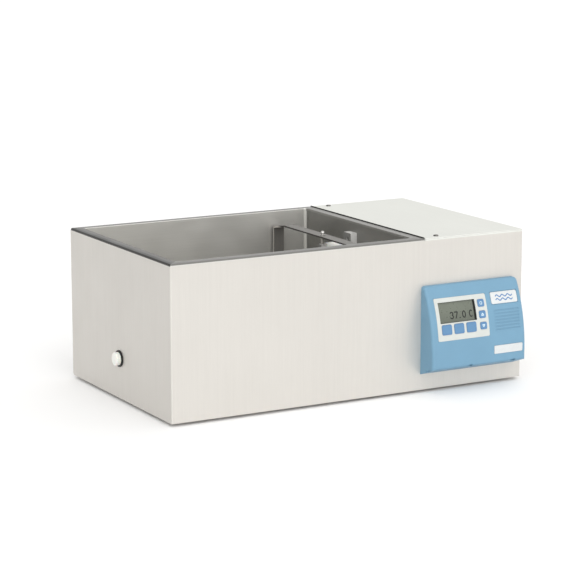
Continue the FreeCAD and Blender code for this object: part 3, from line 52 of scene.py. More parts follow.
def at(x, y, z):
    """A point given in millimetres from the casing's datum corner and the floor."""
    return Vector((DATUM.x + x * MM, DATUM.y + y * MM, z * MM))


# ---- shader nodes

class Finish:
    """A material and short calls for the nodes that the finishes share."""

    def __init__(self, name, colour, roughness, metallic=0.0, **sockets):
        self.material = bpy.data.materials.new(name)
        self.material.use_nodes = True
        self.tree = self.material.node_tree
        self.shader = self.tree.nodes["Principled BSDF"]
        self.shader.inputs["Base Color"].default_value = (*colour, 1)
        self.shader.inputs["Roughness"].default_value = roughness
        self.shader.inputs["Metallic"].default_value = metallic
        for socket, value in sockets.items():
            self.shader.inputs[socket.replace("_", " ")].default_value = value
        self.normal = None

    def node(self, kind, **settings):
        made = self.tree.nodes.new("ShaderNode" + kind)
        for key, value in settings.items():
            setattr(made, key, value)
        return made

    def link(self, source, target):
        self.tree.links.new(source, target)

    def feed(self, socket, value):
        """Sets a socket to a number, or links it to another node's output."""
        if isinstance(value, bpy.types.NodeSocket):
            self.link(value, socket)
        else:
            socket.default_value = value

    def spot(self, stretch=(1, 1, 1)):
        """Object coordinates in metres, stretched along the axes."""
        source = self.node("TexCoord").outputs["Object"]
        if tuple(stretch) == (1, 1, 1):
            return source
        mapping = self.node("Mapping")
        mapping.inputs["Scale"].default_value = stretch
        self.link(source, mapping.inputs["Vector"])
        return mapping.outputs["Vector"]

    def noise(self, size_mm, stretch=(1, 1, 1), detail=2.0):
        """Noise from 0 to 1 whose blobs are about size_mm across."""
        made = self.node("TexNoise")
        made.inputs["Scale"].default_value = 1000 / size_mm
        made.inputs["Detail"].default_value = detail
        self.link(self.spot(stretch), made.inputs["Vector"])
        return made.outputs["Fac"]

    def cells(self, size_mm, feature="F1", output="Distance", stretch=(1, 1, 1)):
        """Cell pattern whose cells are about size_mm across."""
        made = self.node("TexVoronoi", feature=feature)
        made.inputs["Scale"].default_value = 1000 / size_mm
        self.link(self.spot(stretch), made.inputs["Vector"])
        return made.outputs[output]

    def part_of(self, vector, axis):
        """One component of a vector."""
        made = self.node("SeparateXYZ")
        self.link(vector, made.inputs["Vector"])
        return made.outputs[axis]

    def maths(self, operation, a, b=0.0):
        """One arithmetic step on two numbers or outputs."""
        made = self.node("Math", operation=operation)
        self.feed(made.inputs[0], a)
        self.feed(made.inputs[1], b)
        return made.outputs["Value"]

    def spread(self, value, low, high, start=0.3, end=0.7):
        """Maps start to end of a value onto low to high."""
        made = self.node("MapRange")
        self.link(value, made.inputs["Value"])
        for socket, amount in (("From Min", start), ("From Max", end), ("To Min", low), ("To Max", high)):
            made.inputs[socket].default_value = amount
        return made.outputs["Result"]

    def blend(self, amount, first, second):
        """Mixes two colours."""
        made = self.node("Mix", data_type="RGBA")
        self.feed(made.inputs["Factor"], amount)
        for socket, colour in ((made.inputs[6], first), (made.inputs[7], second)):
            self.feed(socket, colour if isinstance(colour, bpy.types.NodeSocket) else (*colour, 1))
        return made.outputs[2]

    def shade(self, colour, factor):
        """A colour times a number."""
        made = self.node("VectorMath", operation="SCALE")
        if isinstance(colour, bpy.types.NodeSocket):
            self.link(colour, made.inputs[0])
        else:
            made.inputs[0].default_value = colour
        self.link(factor, made.inputs["Scale"])
        return made.outputs["Vector"]

    def paint(self, colour):
        self.link(colour, self.shader.inputs["Base Color"])

    def gloss(self, roughness):
        self.link(roughness, self.shader.inputs["Roughness"])

    def bump(self, height, depth_mm, strength=1.0):
        """Adds relief of depth_mm on top of what is there already."""
        made = self.node("Bump")
        made.inputs["Distance"].default_value = depth_mm * MM
        made.inputs["Strength"].default_value = strength
        self.link(height, made.inputs["Height"])
        if self.normal is not None:
            self.link(self.normal, made.inputs["Normal"])
        self.normal = made.outputs["Normal"]
        self.link(self.normal, self.shader.inputs["Normal"])


def brushed(name, colour, roughness, grain, contrast, extra_tone=None, metallic=1.0):
    """Satin steel brushed along one axis, with soft clouds, hairlines and patches of uneven gloss."""
    finish = Finish(name, colour, roughness, metallic)
    wide = finish.noise(2.6, grain, 3)
    fine = finish.noise(0.5, grain, 2)
    clouds = finish.noise(140, detail=3)
    tone = finish.maths("MULTIPLY", finish.spread(wide, 1 - contrast, 1 + contrast),
                        finish.spread(clouds, 0.985, 1.015))
    if extra_tone:
        tone = finish.maths("MULTIPLY", tone, extra_tone(finish))
    finish.paint(finish.shade(colour, tone))
    streaks = finish.spread(fine, roughness - 0.05, roughness + 0.05)
    patches = finish.spread(finish.noise(60, detail=4), -0.03, 0.04, 0.35, 0.7)
    finish.gloss(finish.maths("ADD", streaks, patches))
    finish.bump(fine, 0.01, 0.4)
    return finish


# ---- finishes, one for each material slot of the record and six more

CASING_COLOUR = (0.63, 0.608, 0.572)
COVER_COLOUR = (0.677, 0.684, 0.648)
TANK_COLOUR = (0.70, 0.69, 0.655)
# How noise is stretched so that its lines run along an axis.
ALONG_X = (0.02, 1, 1)
ALONG_Y = (1, 0.02, 1)
ALONG_Z = (1, 1, 0.02)


def casing_steel():
    return brushed("casing_steel", CASING_COLOUR, 0.5, ALONG_Z, 0.012, metallic=0.6)


def cover_steel():
    """The cover's sheet, brushed across the casing and dull, so that it doesn't glare from behind."""
    return brushed("cover_steel", COVER_COLOUR, 0.85, ALONG_Y, 0.01, metallic=0)


# Where the flange ends at the right and at the back, in millimetres from the datum corner.
FLANGE_RIGHT, FLANGE_BACK = 436.4, 358
# How far below the rim's top the flange ends, where the front lip's lower part with its painted highlight
# starts, and how much lighter that painted highlight makes it.
FLANGE_DEPTH = 3.6 * MM
LIP_DEPTH = 2.4 * MM
LIP_HIGHLIGHT_GAIN = 2.2
# How far in from the flange's edge each region goes.
FLANGE_REACH = 20 * MM
BACK_REACH = 16 * MM
RIGHT_WALL_REACH = 16 * MM
# Painted reflections and shade for each region of the tank: how far its outer tone reaches from the edge,
# its inner and its outer tone.
PAINTED_RIM_TONES = {
    "left": (7.5 * MM, 0.19, 0.07),
    "front": (13.2 * MM, 0.52, 0.30),
    "back": (14.2 * MM, 1.0, 0.26),
    "right": (1 * MM, 0.44, 0.44),
    "right_wall": (1 * MM, 0.36, 0.36),
}


def painted_tank_tones(finish):
    """Painted reflections and shade of the tank: one or two tones for each side of its flange, which meet
    in mitres at the corners, painted shade on its right wall, and a painted highlight on the front lip's
    lower part. They stand in for reflections and shade and are the same from every angle."""
    spot = finish.spot()
    x, y, z = (finish.part_of(spot, axis) for axis in "XYZ")
    front_left, back_right = at(0, 0, 0), at(FLANGE_RIGHT, FLANGE_BACK, 0)
    from_left = finish.maths("SUBTRACT", x, front_left.x)
    from_right = finish.maths("SUBTRACT", back_right.x, x)
    from_front = finish.maths("SUBTRACT", y, front_left.y)
    from_back = finish.maths("SUBTRACT", back_right.y, y)
    on_flange = finish.maths("GREATER_THAN", z, RIM_TOP - FLANGE_DEPTH)
    below_flange = finish.maths("SUBTRACT", 1.0, on_flange)
    nearest_end = finish.maths("MINIMUM", from_left, from_right)
    nearest_side = finish.maths("MINIMUM", from_front, from_back)
    at_end = finish.maths("MULTIPLY", finish.maths("LESS_THAN", nearest_end, nearest_side), on_flange)
    at_side = finish.maths("MULTIPLY", finish.maths("SUBTRACT", 1.0, at_end), on_flange)
    regions = {
        "left": (at_end, from_left, FLANGE_REACH),
        "right": (at_end, from_right, FLANGE_REACH),
        "front": (at_side, from_front, FLANGE_REACH),
        "back": (at_side, from_back, BACK_REACH),
        "right_wall": (below_flange, from_right, RIGHT_WALL_REACH),
    }
    inside = {}
    tone = 1.0
    for region, (edge_reach, inner, outer) in PAINTED_RIM_TONES.items():
        side, distance, reach = regions[region]
        inside[region] = finish.maths("MULTIPLY", side, finish.maths("LESS_THAN", distance, reach))
        at_edge = finish.maths("LESS_THAN", distance, edge_reach)
        level = finish.spread(at_edge, inner, outer, 0, 1)
        change = finish.maths("MULTIPLY", finish.maths("SUBTRACT", level, 1.0), inside[region])
        tone = finish.maths("MULTIPLY", tone, finish.maths("ADD", change, 1.0))
    # Painted highlight on the lower part of the front lip.
    painted_lip_area = finish.maths("MULTIPLY", finish.maths("LESS_THAN", z, RIM_TOP - LIP_DEPTH), inside["front"])
    painted_lip_highlight = finish.maths("ADD", finish.maths("MULTIPLY", painted_lip_area, LIP_HIGHLIGHT_GAIN), 1.0)
    return finish.maths("MULTIPLY", tone, painted_lip_highlight)


def tank_steel():
    """Drawn tank with lines along its length, and painted reflections, highlight and shade on its flange
    and right wall.
    """
    return brushed("tank_steel", TANK_COLOUR, 0.36, ALONG_X, 0.015, painted_tank_tones, metallic=0.75)


# A face looks left when its normal's X is below this.
FACES_LEFT = -0.6
# How much darker or lighter a left face is painted than the rest: painted shade on the strap's top, a
# painted highlight on its legs, and painted shade on the blocks.
TOP_EDGE_SHADE, LEG_HIGHLIGHT = -0.75, 1.6
# Painted shade on the blocks' left faces.
BLOCK_SHADE = -0.72
# How far down from the yoke's top its painted shade goes.
STRAP_SHADE_DEPTH = 4 * MM


def left_side(finish):
    """1 on faces that look along -X, else 0."""
    normal = finish.node("TexCoord").outputs["Normal"]
    return finish.maths("LESS_THAN", finish.part_of(normal, "X"), FACES_LEFT)


def painted_strap_light(finish):
    """Painted shade and highlight on the yoke's left edge: painted shade along its top, a painted highlight
    on its legs.
    """
    edge = left_side(finish)
    height = finish.part_of(finish.spot(), "Z")
    on_legs = finish.maths("LESS_THAN", height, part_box("yoke")[1].z - STRAP_SHADE_DEPTH)
    change = finish.spread(on_legs, TOP_EDGE_SHADE, LEG_HIGHLIGHT, 0, 1)
    return finish.maths("ADD", finish.maths("MULTIPLY", edge, change), 1.0)


def dull_steel():
    """Darker steel of the yoke and the cover's screws, with painted shade and highlight on their left
    faces.
    """
    return brushed("dull_steel", (0.18, 0.172, 0.16), 0.42, ALONG_Z, 0.04, painted_strap_light, 0.35)


def painted_block_shade(finish):
    """Painted shade on the left sides of the drive block and the guide bracket."""
    return finish.maths("ADD", finish.maths("MULTIPLY", left_side(finish), BLOCK_SHADE), 1.0)


def bright_steel():
    """Drive block and guide bracket, brighter than the tank, with painted shade on their left sides."""
    return brushed("bright_steel", (0.76, 0.75, 0.73), 0.5, ALONG_Z, 0.02, painted_block_shade, 0.3)


def machined_steel():
    """Turned bar and screws: fine tool marks and small scratches."""
    colour = (0.60, 0.59, 0.57)
    finish = Finish("machined_steel", colour, 0.28, 1.0)
    marks = finish.noise(0.35, (1, 1, 0.1), 2)
    scratches = finish.spread(finish.cells(5, "DISTANCE_TO_EDGE", stretch=(1, 0.3, 0.2)), 1, 0, 0, 0.02)
    finish.paint(finish.shade(colour, finish.spread(finish.noise(8, detail=4), 0.9, 1.06)))
    scratched = finish.maths("MULTIPLY", scratches, 0.2)
    finish.gloss(finish.maths("ADD", finish.spread(marks, 0.22, 0.34), scratched))
    finish.bump(marks, 0.006, 0.5)
    return finish


def galvanised_steel():
    """Zinc spangle in grains of about 7 mm."""
    finish = Finish("galvanised_steel", (0.62, 0.64, 0.66), 0.45, 1.0)
    grain = finish.cells(7, output="Color")
    level = finish.part_of(grain, "X")
    finish.paint(finish.blend(level, (0.50, 0.52, 0.54), (0.72, 0.74, 0.76)))
    finish.gloss(finish.spread(level, 0.34, 0.56, 0, 1))
    finish.bump(finish.noise(1.2, detail=3), 0.02, 0.4)
    return finish


def black_rubber():
    """Matt rubber with a fine grain and a little dust on it."""
    finish = Finish("black_rubber", (0.02, 0.02, 0.02), 0.75, Specular_IOR_Level=0.3)
    dust = finish.spread(finish.noise(9, detail=5), 0, 0.5, 0.5, 0.8)
    finish.paint(finish.blend(dust, (0.012, 0.012, 0.012), (0.07, 0.068, 0.064)))
    finish.gloss(finish.spread(finish.noise(3, detail=3), 0.62, 0.88))
    finish.bump(finish.noise(0.25, detail=2), 0.03, 0.6)
    return finish


def white_nylon():
    """Moulded nylon, slightly warm, with flow marks and a satin skin."""
    finish = Finish("white_nylon", (0.80, 0.80, 0.76), 0.4, Subsurface_Weight=0.15, Subsurface_Scale=0.001)
    flow = finish.noise(7, (1, 1, 0.4), 4)
    finish.paint(finish.blend(finish.spread(flow, 0, 1), (0.76, 0.77, 0.72), (0.84, 0.84, 0.80)))
    finish.gloss(finish.spread(finish.noise(1.5, detail=3), 0.32, 0.5))
    finish.bump(finish.noise(0.4, detail=2), 0.012, 0.5)
    return finish


def moulded(name, colour, roughness, grain_mm, depth_mm):
    """Injection-moulded plastic: fine grain, faint clouds and patches of uneven gloss."""
    finish = Finish(name, colour, roughness)
    clouds = finish.noise(35, detail=3)
    finish.paint(finish.shade(colour, finish.spread(clouds, 0.975, 1.025)))
    patches = finish.spread(finish.noise(22, detail=4), -0.05, 0.05)
    grain = finish.noise(grain_mm, detail=2)
    finish.gloss(finish.maths("ADD", finish.spread(grain, roughness - 0.06, roughness + 0.06), patches))
    finish.bump(grain, depth_mm, 0.6)
    return finish


def blue_shell():
    return moulded("blue_shell", (0.147, 0.293, 0.415), 0.5, 0.7, 0.03)


def blue_keys():
    return moulded("blue_keys", (0.098, 0.222, 0.385), 0.45, 0.5, 0.015)


def dark_blue():
    return moulded("dark_blue", (0.09, 0.20, 0.40), 0.5, 0.5, 0.01)


def key_print():
    return moulded("key_print", (0.55, 0.68, 0.76), 0.5, 0.4, 0.006)


def pale_overlay():
    """Printed polyester film with a fine velvet texture."""
    return moulded("pale_overlay", (0.545, 0.565, 0.54), 0.42, 0.35, 0.01)


def white_label():
    return moulded("white_label", (0.60, 0.62, 0.625), 0.3, 0.8, 0.005)


def black_plastic():
    return moulded("black_plastic", (0.018, 0.018, 0.019), 0.45, 0.5, 0.02)


def motor_paint():
    return moulded("motor_paint", (0.03, 0.033, 0.038), 0.4, 1.2, 0.04)


def display_glass():
    """Reflective display: fine rows, faint vertical shading, glossy pane on top."""
    finish = Finish("display_glass", (0.20, 0.225, 0.175), 0.3, Coat_Weight=0.5, Coat_Roughness=0.08)
    grid = finish.node("TexWave", wave_type="BANDS", bands_direction="Z")
    grid.inputs["Scale"].default_value = 300
    finish.link(finish.spot(), grid.inputs["Vector"])
    height = finish.part_of(finish.spot(), "Z")
    low, high = (corner.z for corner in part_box("display_pane"))
    fall = finish.spread(height, 0.86, 1.12, low, high)
    rows = finish.spread(grid.outputs["Fac"], 0.97, 1.02, 0, 1)
    cloud = finish.spread(finish.noise(30, detail=1), 0.95, 1.05)
    tone = finish.maths("MULTIPLY", finish.maths("MULTIPLY", fall, rows), cloud)
    finish.paint(finish.shade((0.115, 0.13, 0.10), tone))
    finish.gloss(finish.spread(finish.noise(4, detail=3), 0.25, 0.38))
    finish.bump(grid.outputs["Fac"], 0.004, 0.3)
    return finish


def display_ink():
    return moulded("display_ink", (0.006, 0.008, 0.006), 0.6, 0.6, 0.004)


def foam():
    """Open-cell foam slab."""
    finish = Finish("foam", (0.72, 0.69, 0.58), 0.95)
    pores = finish.cells(1.6)
    finish.paint(finish.blend(finish.spread(pores, 0, 1, 0.1, 0.6), (0.40, 0.38, 0.30), (0.76, 0.73, 0.62)))
    finish.bump(pores, 0.6, 0.7)
    return finish


def heater_foil():
    """Silicone heater mat with the heating wire's runs showing through."""
    finish = Finish("heater_foil", (0.45, 0.10, 0.03), 0.6)
    runs = finish.node("TexWave", wave_type="BANDS", bands_direction="Y", wave_profile="SIN")
    runs.inputs["Scale"].default_value = 20
    runs.inputs["Distortion"].default_value = 0.4
    finish.link(finish.spot(), runs.inputs["Vector"])
    wire = finish.spread(runs.outputs["Fac"], 0, 1, 0.8, 0.95)
    finish.paint(finish.blend(wire, (0.46, 0.11, 0.035), (0.30, 0.06, 0.02)))
    finish.gloss(finish.spread(finish.noise(2, detail=3), 0.5, 0.7))
    finish.bump(wire, 0.2, 0.6)
    return finish


def circuit_board():
    """Green board with lighter lines for its traces."""
    finish = Finish("circuit_board", (0.02, 0.12, 0.05), 0.3)
    traces = finish.spread(finish.cells(6, "DISTANCE_TO_EDGE", stretch=(1, 1, 0.1)), 1, 0, 0.03, 0.07)
    finish.paint(finish.blend(traces, (0.012, 0.09, 0.035), (0.05, 0.22, 0.08)))
    finish.gloss(finish.spread(finish.noise(3, detail=3), 0.22, 0.4))
    finish.bump(traces, 0.04, 0.6)
    return finish


FINISHES = [casing_steel, tank_steel, machined_steel, galvanised_steel, black_rubber, white_nylon,
            blue_shell, blue_keys, pale_overlay, display_glass, black_plastic, foam, heater_foil,
            circuit_board, motor_paint, white_label]
EXTRA_FINISHES = [cover_steel, dull_steel, bright_steel, dark_blue, key_print, display_ink]
finishes = {make.__name__: make().material for make in FINISHES + EXTRA_FINISHES}

OWN_FINISHES = {"top_cover": "cover_steel", "yoke": "dull_steel", "cover_screws": "dull_steel",
                "guide_bracket": "bright_steel", "drive_block": "bright_steel"}


def finish_nodes():
    """Gives each CAD node the finish of its material slot, or its own."""
    for part in frame["record"]["subparts"]:
        node = part["node"]
        for material_slot in frame["nodes"][node].material_slots:
            material_slot.material = finishes[OWN_FINISHES.get(node, part["material_slot"])]


# ---- small pieces laid on the CAD's surfaces

SURFACE_MARGIN = 0.3 * MM
SHARP_ANGLE = math.radians(40)


def front_of(node):
    """Returns a function that gives the y of a node's front surface at an x and z."""
    mesh = frame["nodes"][node].data
    tree = BVHTree.FromPolygons([v.co for v in mesh.vertices], [tuple(p.vertices) for p in mesh.polygons])
    low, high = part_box(node)

    def y_at(x, z):
        x = min(max(x, low.x + SURFACE_MARGIN), high.x - SURFACE_MARGIN)
        z = min(max(z, low.z + SURFACE_MARGIN), high.z - SURFACE_MARGIN)
        return tree.ray_cast(Vector((x, DATUM.y - 1, z)), Vector((0, 1, 0)))[0].y
    return y_at


def piece(name, mesh_builder, body, finish):
    """Turns a bmesh into a smooth-shaded piece that rides on a body."""
    mesh = bpy.data.meshes.new(name)
    bmesh.ops.recalc_face_normals(mesh_builder, faces=mesh_builder.faces)
    mesh_builder.to_mesh(mesh)
    mesh_builder.free()
    made = bpy.data.objects.new(name, mesh)
    bpy.context.scene.collection.objects.link(made)
    mesh.materials.append(finishes[finish])
    mesh.shade_smooth()
    mesh.set_sharp_from_angle(angle=SHARP_ANGLE)
    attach(made, body)


# A ribbon's edges are sunk into the surface, and its shoulders rise to a share of its crown.
SUNK = 0.2 * MM
SHOULDER = 0.55
# Steps of a ribbon's round end.
CAP_ANGLES = (math.pi / 6, math.pi / 3, math.pi * 0.49)


def ribbon(shape, path, width, y_at, proud, closed=False):
    """Adds a crowned stroke of a width along a path of (x, z) points, laid on a surface."""
    profile = ((-1, -SUNK), (-1, proud * SHOULDER), (0, proud), (1, proud * SHOULDER), (1, -SUNK))
    half = width / 2
    sections = []
    count = len(path)
    for i, (x, z) in enumerate(path):
        ahead = path[(i + 1) % count] if closed or i + 1 < count else path[i]
        behind = path[i - 1] if closed or i else path[i]
        along = Vector((ahead[0] - behind[0], ahead[1] - behind[1])).normalized()
        sections.append((Vector((x, z)), along, half))
    if not closed:
        first, last = sections[0], sections[-1]
        caps = [(half * math.sin(angle), half * math.cos(angle)) for angle in CAP_ANGLES]
        start = [(first[0] - first[1] * out, first[1], reach) for out, reach in reversed(caps)]
        end = [(last[0] + last[1] * out, last[1], reach) for out, reach in caps]
        sections = start + sections + end
    rings = []
    for middle, along, reach in sections:
        side = Vector((-along.y, along.x)) * reach
        row = []
        for step, rise in profile:
            spot = middle + side * step
            y = y_at(spot.x, spot.y)
            row.append(shape.verts.new((spot.x, y - rise, spot.y)))
        rings.append(row)
    pairs = list(zip(rings, rings[1:]))
    if closed:
        pairs.append((rings[-1], rings[0]))
    for a, b in pairs:
        for i in range(len(profile)):
            j = (i + 1) % len(profile)
            shape.faces.new((a[i], a[j], b[j], b[i]))
    if not closed:
        shape.faces.new(rings[0])
        shape.faces.new(list(reversed(rings[-1])))


def arc(centre, radii, start, end, steps=20):
    """Points on an ellipse's arc, angles in degrees."""
    points = []
    for i in range(steps + 1):
        angle = math.radians(start + (end - start) * i / steps)
        points.append((centre[0] + radii[0] * math.cos(angle), centre[1] + radii[1] * math.sin(angle)))
    return points


def between(points, steps=6):
    """Extra points along straight runs."""
    filled = []
    for (x0, z0), (x1, z1) in zip(points, points[1:]):
        filled += [(x0 + (x1 - x0) * i / steps, z0 + (z1 - z0) * i / steps) for i in range(steps)]
    return filled + [points[-1]]


def rounded_square(centre, width, height, radius):
    """A closed path round a rectangle with round corners."""
    path = []
    for sx, sz, start in ((1, 1, 0), (-1, 1, 90), (-1, -1, 180), (1, -1, 270)):
        corner = (centre[0] + sx * (width / 2 - radius), centre[1] + sz * (height / 2 - radius))
        path += arc(corner, (radius, radius), start, start + 90, 6)
    return path


# Strokes of each sign in a box one unit wide and high.
SIGNS = {
    "3": [arc((0.48, 0.76), (0.42, 0.24), 150, -80) + arc((0.48, 0.26), (0.46, 0.26), 80, -150)],
    "7": [between([(0.03, 0.98), (0.95, 0.98), (0.38, 0.02)])],
    ".": [[(0.45, 0.03), (0.55, 0.03)]],
    "0": [arc((0.5, 0.5), (0.44, 0.5), 0, 350, 34)],
    "C": [arc((0.55, 0.5), (0.46, 0.5), 55, 305)],
}
# Each sign of the reading and how far it starts from the pane's left, in millimetres.
READING = (("3", 21.2), ("7", 29.4), (".", 36.0), ("0", 43.8), ("C", 56.4))
READING_BASE = 5.4
# The size of a sign's box and the width of its line, in millimetres.
SIGN_WIDTH, SIGN_HEIGHT, SIGN_LINE = 5.9, 9.4, 1.8
INK_PROUD = 0.05 * MM


def display_reading():
    """The temperature reading on the display."""
    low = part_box("display_pane")[0]
    y_at = front_of("display_pane")
    shape = bmesh.new()
    for sign, start in READING:
        for stroke in SIGNS[sign]:
            path = [(low.x + (start + x * SIGN_WIDTH) * MM, low.z + (READING_BASE + z * SIGN_HEIGHT) * MM)
                    for x, z in stroke]
            ribbon(shape, path, SIGN_LINE * MM, y_at, INK_PROUD, closed=sign == "0")
    piece("display_reading", shape, "cabinet", "display_ink")


# Strokes of the display's dark edge, the frame's black inner edge with painted shade of its recess: how far
# each stands in from the pane's side, and its width.
RIGHT_INSET, RIGHT_LINE = 1.3 * MM, 2.4 * MM
LEFT_INSET, LEFT_LINE = 0.5 * MM, 0.7 * MM
TOP_INSET, TOP_LINE = 0.6 * MM, 0.8 * MM
STROKE_END = 1 * MM
STROKE_PROUD = 0.1 * MM


def display_edge_shade():
    """Dark strokes on the pane: the frame's black inner edge, with painted shade of its recess that makes
    the right one widest.
    """
    low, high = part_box("display_pane")
    y_at = front_of("display_pane")
    heights = (low.z + STROKE_END, high.z - STROKE_END)
    sides = (low.x + STROKE_END, high.x - STROKE_END)
    shape = bmesh.new()
    for ends, line in (
            ([(high.x - RIGHT_INSET, z) for z in heights], RIGHT_LINE),
            ([(low.x + LEFT_INSET, z) for z in heights], LEFT_LINE),
            ([(x, high.z - TOP_INSET) for x in sides], TOP_LINE)):
        ribbon(shape, between(ends, 12), line, y_at, STROKE_PROUD)
    piece("display_edge_shade", shape, "cabinet", "display_ink")


def triangle(base, tip):
    """A closed triangle with its base at one height and its tip at another, in millimetres."""
    half = 2.1
    return between([(-half, base), (half, base), (0, tip), (-half, base)], 4)[:-1]


# Each small key's sign, in millimetres from the key's middle, and the width of its line.
KEY_SIGNS = {
    "power_key": (arc((0, 0), (2.0, 2.0), 0, 350, 34), 0.9),
    "up_key": (triangle(-1.5, 1.9), 1.3),
    "down_key": (triangle(1.5, -1.9), 1.3),
}
RIM_ROUND = 2.2 * MM
RIM_PROUD = 0.12 * MM
SIGN_PROUD = 0.15 * MM
# What a rim takes off a key's width and height, and the width of its line.
SOFT_KEY_RIM = (1.4 * MM, 1.6 * MM, 0.7 * MM)
SMALL_KEY_RIM = (1.6 * MM, 1.8 * MM, 1.2 * MM)


def key_rim(name, less_width, less_height, line):
    """Moulded rim round a key's face."""
    low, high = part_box(name)
    middle = ((low.x + high.x) / 2, (low.z + high.z) / 2)
    path = rounded_square(middle, high.x - low.x - less_width, high.z - low.z - less_height, RIM_ROUND)
    shape = bmesh.new()
    ribbon(shape, path, line, front_of(name), RIM_PROUD, closed=True)
    piece(f"{name}_rim", shape, name, "dark_blue")


def key_sign(name, sign, line):
    """Plain sign printed in the middle of a key."""
    low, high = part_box(name)
    path = [((low.x + high.x) / 2 + u * MM, (low.z + high.z) / 2 + v * MM) for u, v in sign]
    shape = bmesh.new()
    ribbon(shape, path, line * MM, front_of(name), SIGN_PROUD, closed=True)
    piece(f"{name}_sign", shape, name, "key_print")


def key_marks():
    """Rims on all six keys, and the signs on the three small ones."""
    for number in (1, 2, 3):
        key_rim(f"soft_key_{number}", *SOFT_KEY_RIM)
    for name, (sign, line) in KEY_SIGNS.items():
        key_rim(name, *SMALL_KEY_RIM)
        key_sign(name, sign, line)


WAVE_MARGIN = 9 * MM
WAVE_OFFSET = 2.7 * MM
WAVE_RISE = 1.5 * MM
WAVE_LINE = 1.7 * MM
WAVE_PROUD = 0.08 * MM
WAVE_COUNT = 3
WAVE_STEPS = 48


def badge_waves():
    """Two plain waves on the badge, as a sign for water."""
    low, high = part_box("pod_badge")
    start, end = low.x + WAVE_MARGIN, high.x - WAVE_MARGIN
    shape = bmesh.new()
    for offset in (-WAVE_OFFSET, WAVE_OFFSET):
        path = []
        for i in range(WAVE_STEPS + 1):
            rise = offset + WAVE_RISE * math.sin(math.tau * WAVE_COUNT * i / WAVE_STEPS)
            path.append((start + (end - start) * i / WAVE_STEPS, (low.z + high.z) / 2 + rise))
        ribbon(shape, path, WAVE_LINE, front_of("pod_badge"), WAVE_PROUD)
    piece("badge_waves", shape, "cabinet", "dark_blue")


def turned(shape, centre, axis, profile, segments=48):
    """Adds a lathe-turned form: profile is (radius, distance along the axis) from end to end."""
    along = Vector(axis)
    across = Vector((0, 0, 1)) if abs(along.z) < 0.5 else Vector((1, 0, 0))
    third = along.cross(across)
    rings = []
    for radius, step in profile:
        if radius == 0:
            rings.append([shape.verts.new(centre + along * step)])
            continue
        ring = []
        for i in range(segments):
            angle = 2 * math.pi * i / segments
            ring.append(shape.verts.new(
                centre + along * step + (across * math.cos(angle) + third * math.sin(angle)) * radius))
        rings.append(ring)
    for a, b in zip(rings, rings[1:]):
        for i in range(segments):
            j = (i + 1) % segments
            corners = [a[i % len(a)], a[j % len(a)], b[j % len(b)], b[i % len(b)]]
            unique = list(dict.fromkeys(corners))
            if len(unique) > 2:
                shape.faces.new(unique)


# Lathe profiles in metres: (radius, distance along the axis).
CAP_RING = [(0.0062, 0.0006), (0.0062, 0.00015), (0.0058, 0.00002), (0.0050, 0.00002), (0.0046, 0.00015),
            (0.0046, 0.0006)]
GATE_MARK = [(0, 0.00003), (0.0008, 0.00006), (0.0011, 0.0004), (0.0011, 0.0006)]
SCREW_HEAD = [(0, 0.0009), (0.0012, 0.0009), (0.0012, 0.0013), (0.0019, 0.00125), (0.0027, 0.0010),
              (0.0033, 0.0005), (0.0035, -0.0001)]
REAR_SCREW_INSET = 9 * MM
REAR_SCREW_COLUMNS = 5


def cap_face():
    """Raised ring and gate mark on the drain cap's end."""
    low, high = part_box("drain_cap")
    centre = Vector((low.x, (low.y + high.y) / 2, (low.z + high.z) / 2))
    shape = bmesh.new()
    turned(shape, centre, (1, 0, 0), CAP_RING)
    turned(shape, centre, (1, 0, 0), GATE_MARK)
    piece("drain_cap_ring", shape, "drain_cap", "white_nylon")


def rear_screws():
    """Pan-head screws round the rear panel."""
    low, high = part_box("back_panel")
    shape = bmesh.new()
    first_x, last_x = low.x + REAR_SCREW_INSET, high.x - REAR_SCREW_INSET
    gaps = REAR_SCREW_COLUMNS - 1
    xs = [first_x + (last_x - first_x) * i / gaps for i in range(REAR_SCREW_COLUMNS)]
    zs = [low.z + REAR_SCREW_INSET, high.z - REAR_SCREW_INSET]
    spots = [(x, z) for x in xs for z in zs] + [(x, (low.z + high.z) / 2) for x in (xs[0], xs[-1])]
    for x, z in spots:
        turned(shape, Vector((x, high.y, z)), (0, 1, 0), SCREW_HEAD, 24)
    piece("rear_panel_screws", shape, "cabinet", "machined_steel")


# ---- the studio

BRIGHT_SIDE = Vector((0.9, -0.2, 0.4)).normalized()
DARK_LEVEL, BRIGHT_LEVEL = 0.45, 1.14
SURROUND_COLOUR = (1, 0.995, 0.985, 1)
SOFT_LIGHT_POWER = 1.85
SOFT_LIGHT_FROM = Vector((-0.4, -0.8, 0.5))
SOFT_LIGHT_ANGLE = math.radians(80)
FLOOR_COLOUR = (0.94, 0.94, 0.94)
FLOOR_HALF = 30
AZIMUTH, ELEVATION = math.radians(-29.18), math.radians(11.43)
# Where the camera stands from the datum corner, then its lens and sensor, all in millimetres.
CAMERA_SPOT = (-1375.4, -2823.4, 838.1)
LENS, SENSOR = 136.3, 36


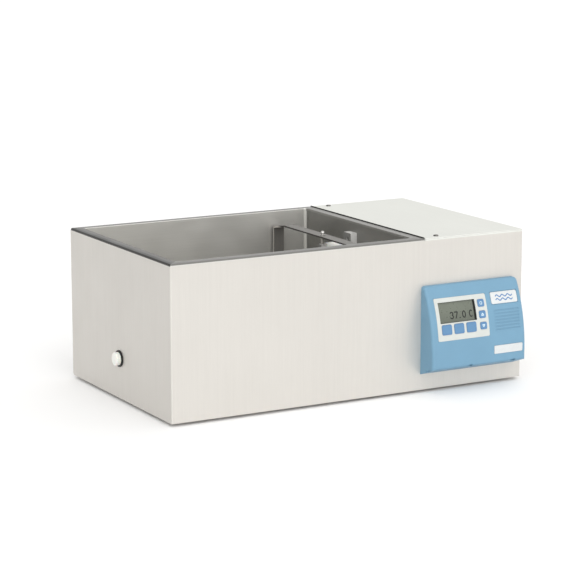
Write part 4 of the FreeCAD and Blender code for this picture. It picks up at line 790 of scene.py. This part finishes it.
def studio():
    """White surroundings, darker to the left, and a very soft light from the front left and above."""
    scene = bpy.context.scene
    scene.view_settings.view_transform = "Standard"
    world = bpy.data.worlds.new("studio")
    scene.world = world
    world.use_nodes = True
    nodes, links = world.node_tree.nodes, world.node_tree.links
    direction = nodes.new("ShaderNodeTexCoord")
    toward = nodes.new("ShaderNodeVectorMath")
    toward.operation = "DOT_PRODUCT"
    toward.inputs[1].default_value = BRIGHT_SIDE
    links.new(direction.outputs["Generated"], toward.inputs[0])
    level = nodes.new("ShaderNodeMapRange")
    level.inputs["From Min"].default_value = -1
    level.inputs["To Min"].default_value = DARK_LEVEL
    level.inputs["To Max"].default_value = BRIGHT_LEVEL
    links.new(toward.outputs["Value"], level.inputs["Value"])
    around = nodes["Background"]
    around.inputs["Color"].default_value = SURROUND_COLOUR
    links.new(level.outputs["Result"], around.inputs["Strength"])
    backdrop = nodes.new("ShaderNodeBackground")
    backdrop.inputs["Color"].default_value = (1, 1, 1, 1)
    path = nodes.new("ShaderNodeLightPath")
    either = nodes.new("ShaderNodeMixShader")
    links.new(path.outputs["Is Camera Ray"], either.inputs["Fac"])
    links.new(around.outputs["Background"], either.inputs[1])
    links.new(backdrop.outputs["Background"], either.inputs[2])
    links.new(either.outputs["Shader"], nodes["World Output"].inputs["Surface"])
    data = bpy.data.lights.new("soft_light", "SUN")
    data.energy = SOFT_LIGHT_POWER
    data.angle = SOFT_LIGHT_ANGLE
    lamp = bpy.data.objects.new("soft_light", data)
    scene.collection.objects.link(lamp)
    lamp.rotation_euler = (-SOFT_LIGHT_FROM).to_track_quat("-Z", "Y").to_euler()


def floor():
    """Plain pale floor with a trace of unevenness in its tone."""
    shape = bmesh.new()
    bmesh.ops.create_grid(shape, x_segments=8, y_segments=8, size=FLOOR_HALF)
    mesh = bpy.data.meshes.new("floor")
    shape.to_mesh(mesh)
    shape.free()
    made = bpy.data.objects.new("floor", mesh)
    bpy.context.scene.collection.objects.link(made)
    finish = Finish("floor", FLOOR_COLOUR, 0.7, Specular_IOR_Level=0.2)
    finish.paint(finish.shade(FLOOR_COLOUR, finish.spread(finish.noise(400, detail=2), 0.995, 1.005)))
    mesh.materials.append(finish.material)


def camera():
    """Camera in front and to the left, looking slightly down."""
    data = bpy.data.cameras.new("camera")
    data.sensor_width = SENSOR
    data.lens = LENS
    made = bpy.data.objects.new("camera", data)
    bpy.context.scene.collection.objects.link(made)
    back = Vector((math.sin(AZIMUTH) * math.cos(ELEVATION),
                   -math.cos(AZIMUTH) * math.cos(ELEVATION), math.sin(ELEVATION)))
    made.location = at(*CAMERA_SPOT)
    made.rotation_mode = "QUATERNION"
    made.rotation_quaternion = (-back).to_track_quat("-Z", "Y")
    bpy.context.scene.camera = made


finish_nodes()
display_reading()
display_edge_shade()
key_marks()
badge_waves()
cap_face()
rear_screws()
floor()
studio()
camera()
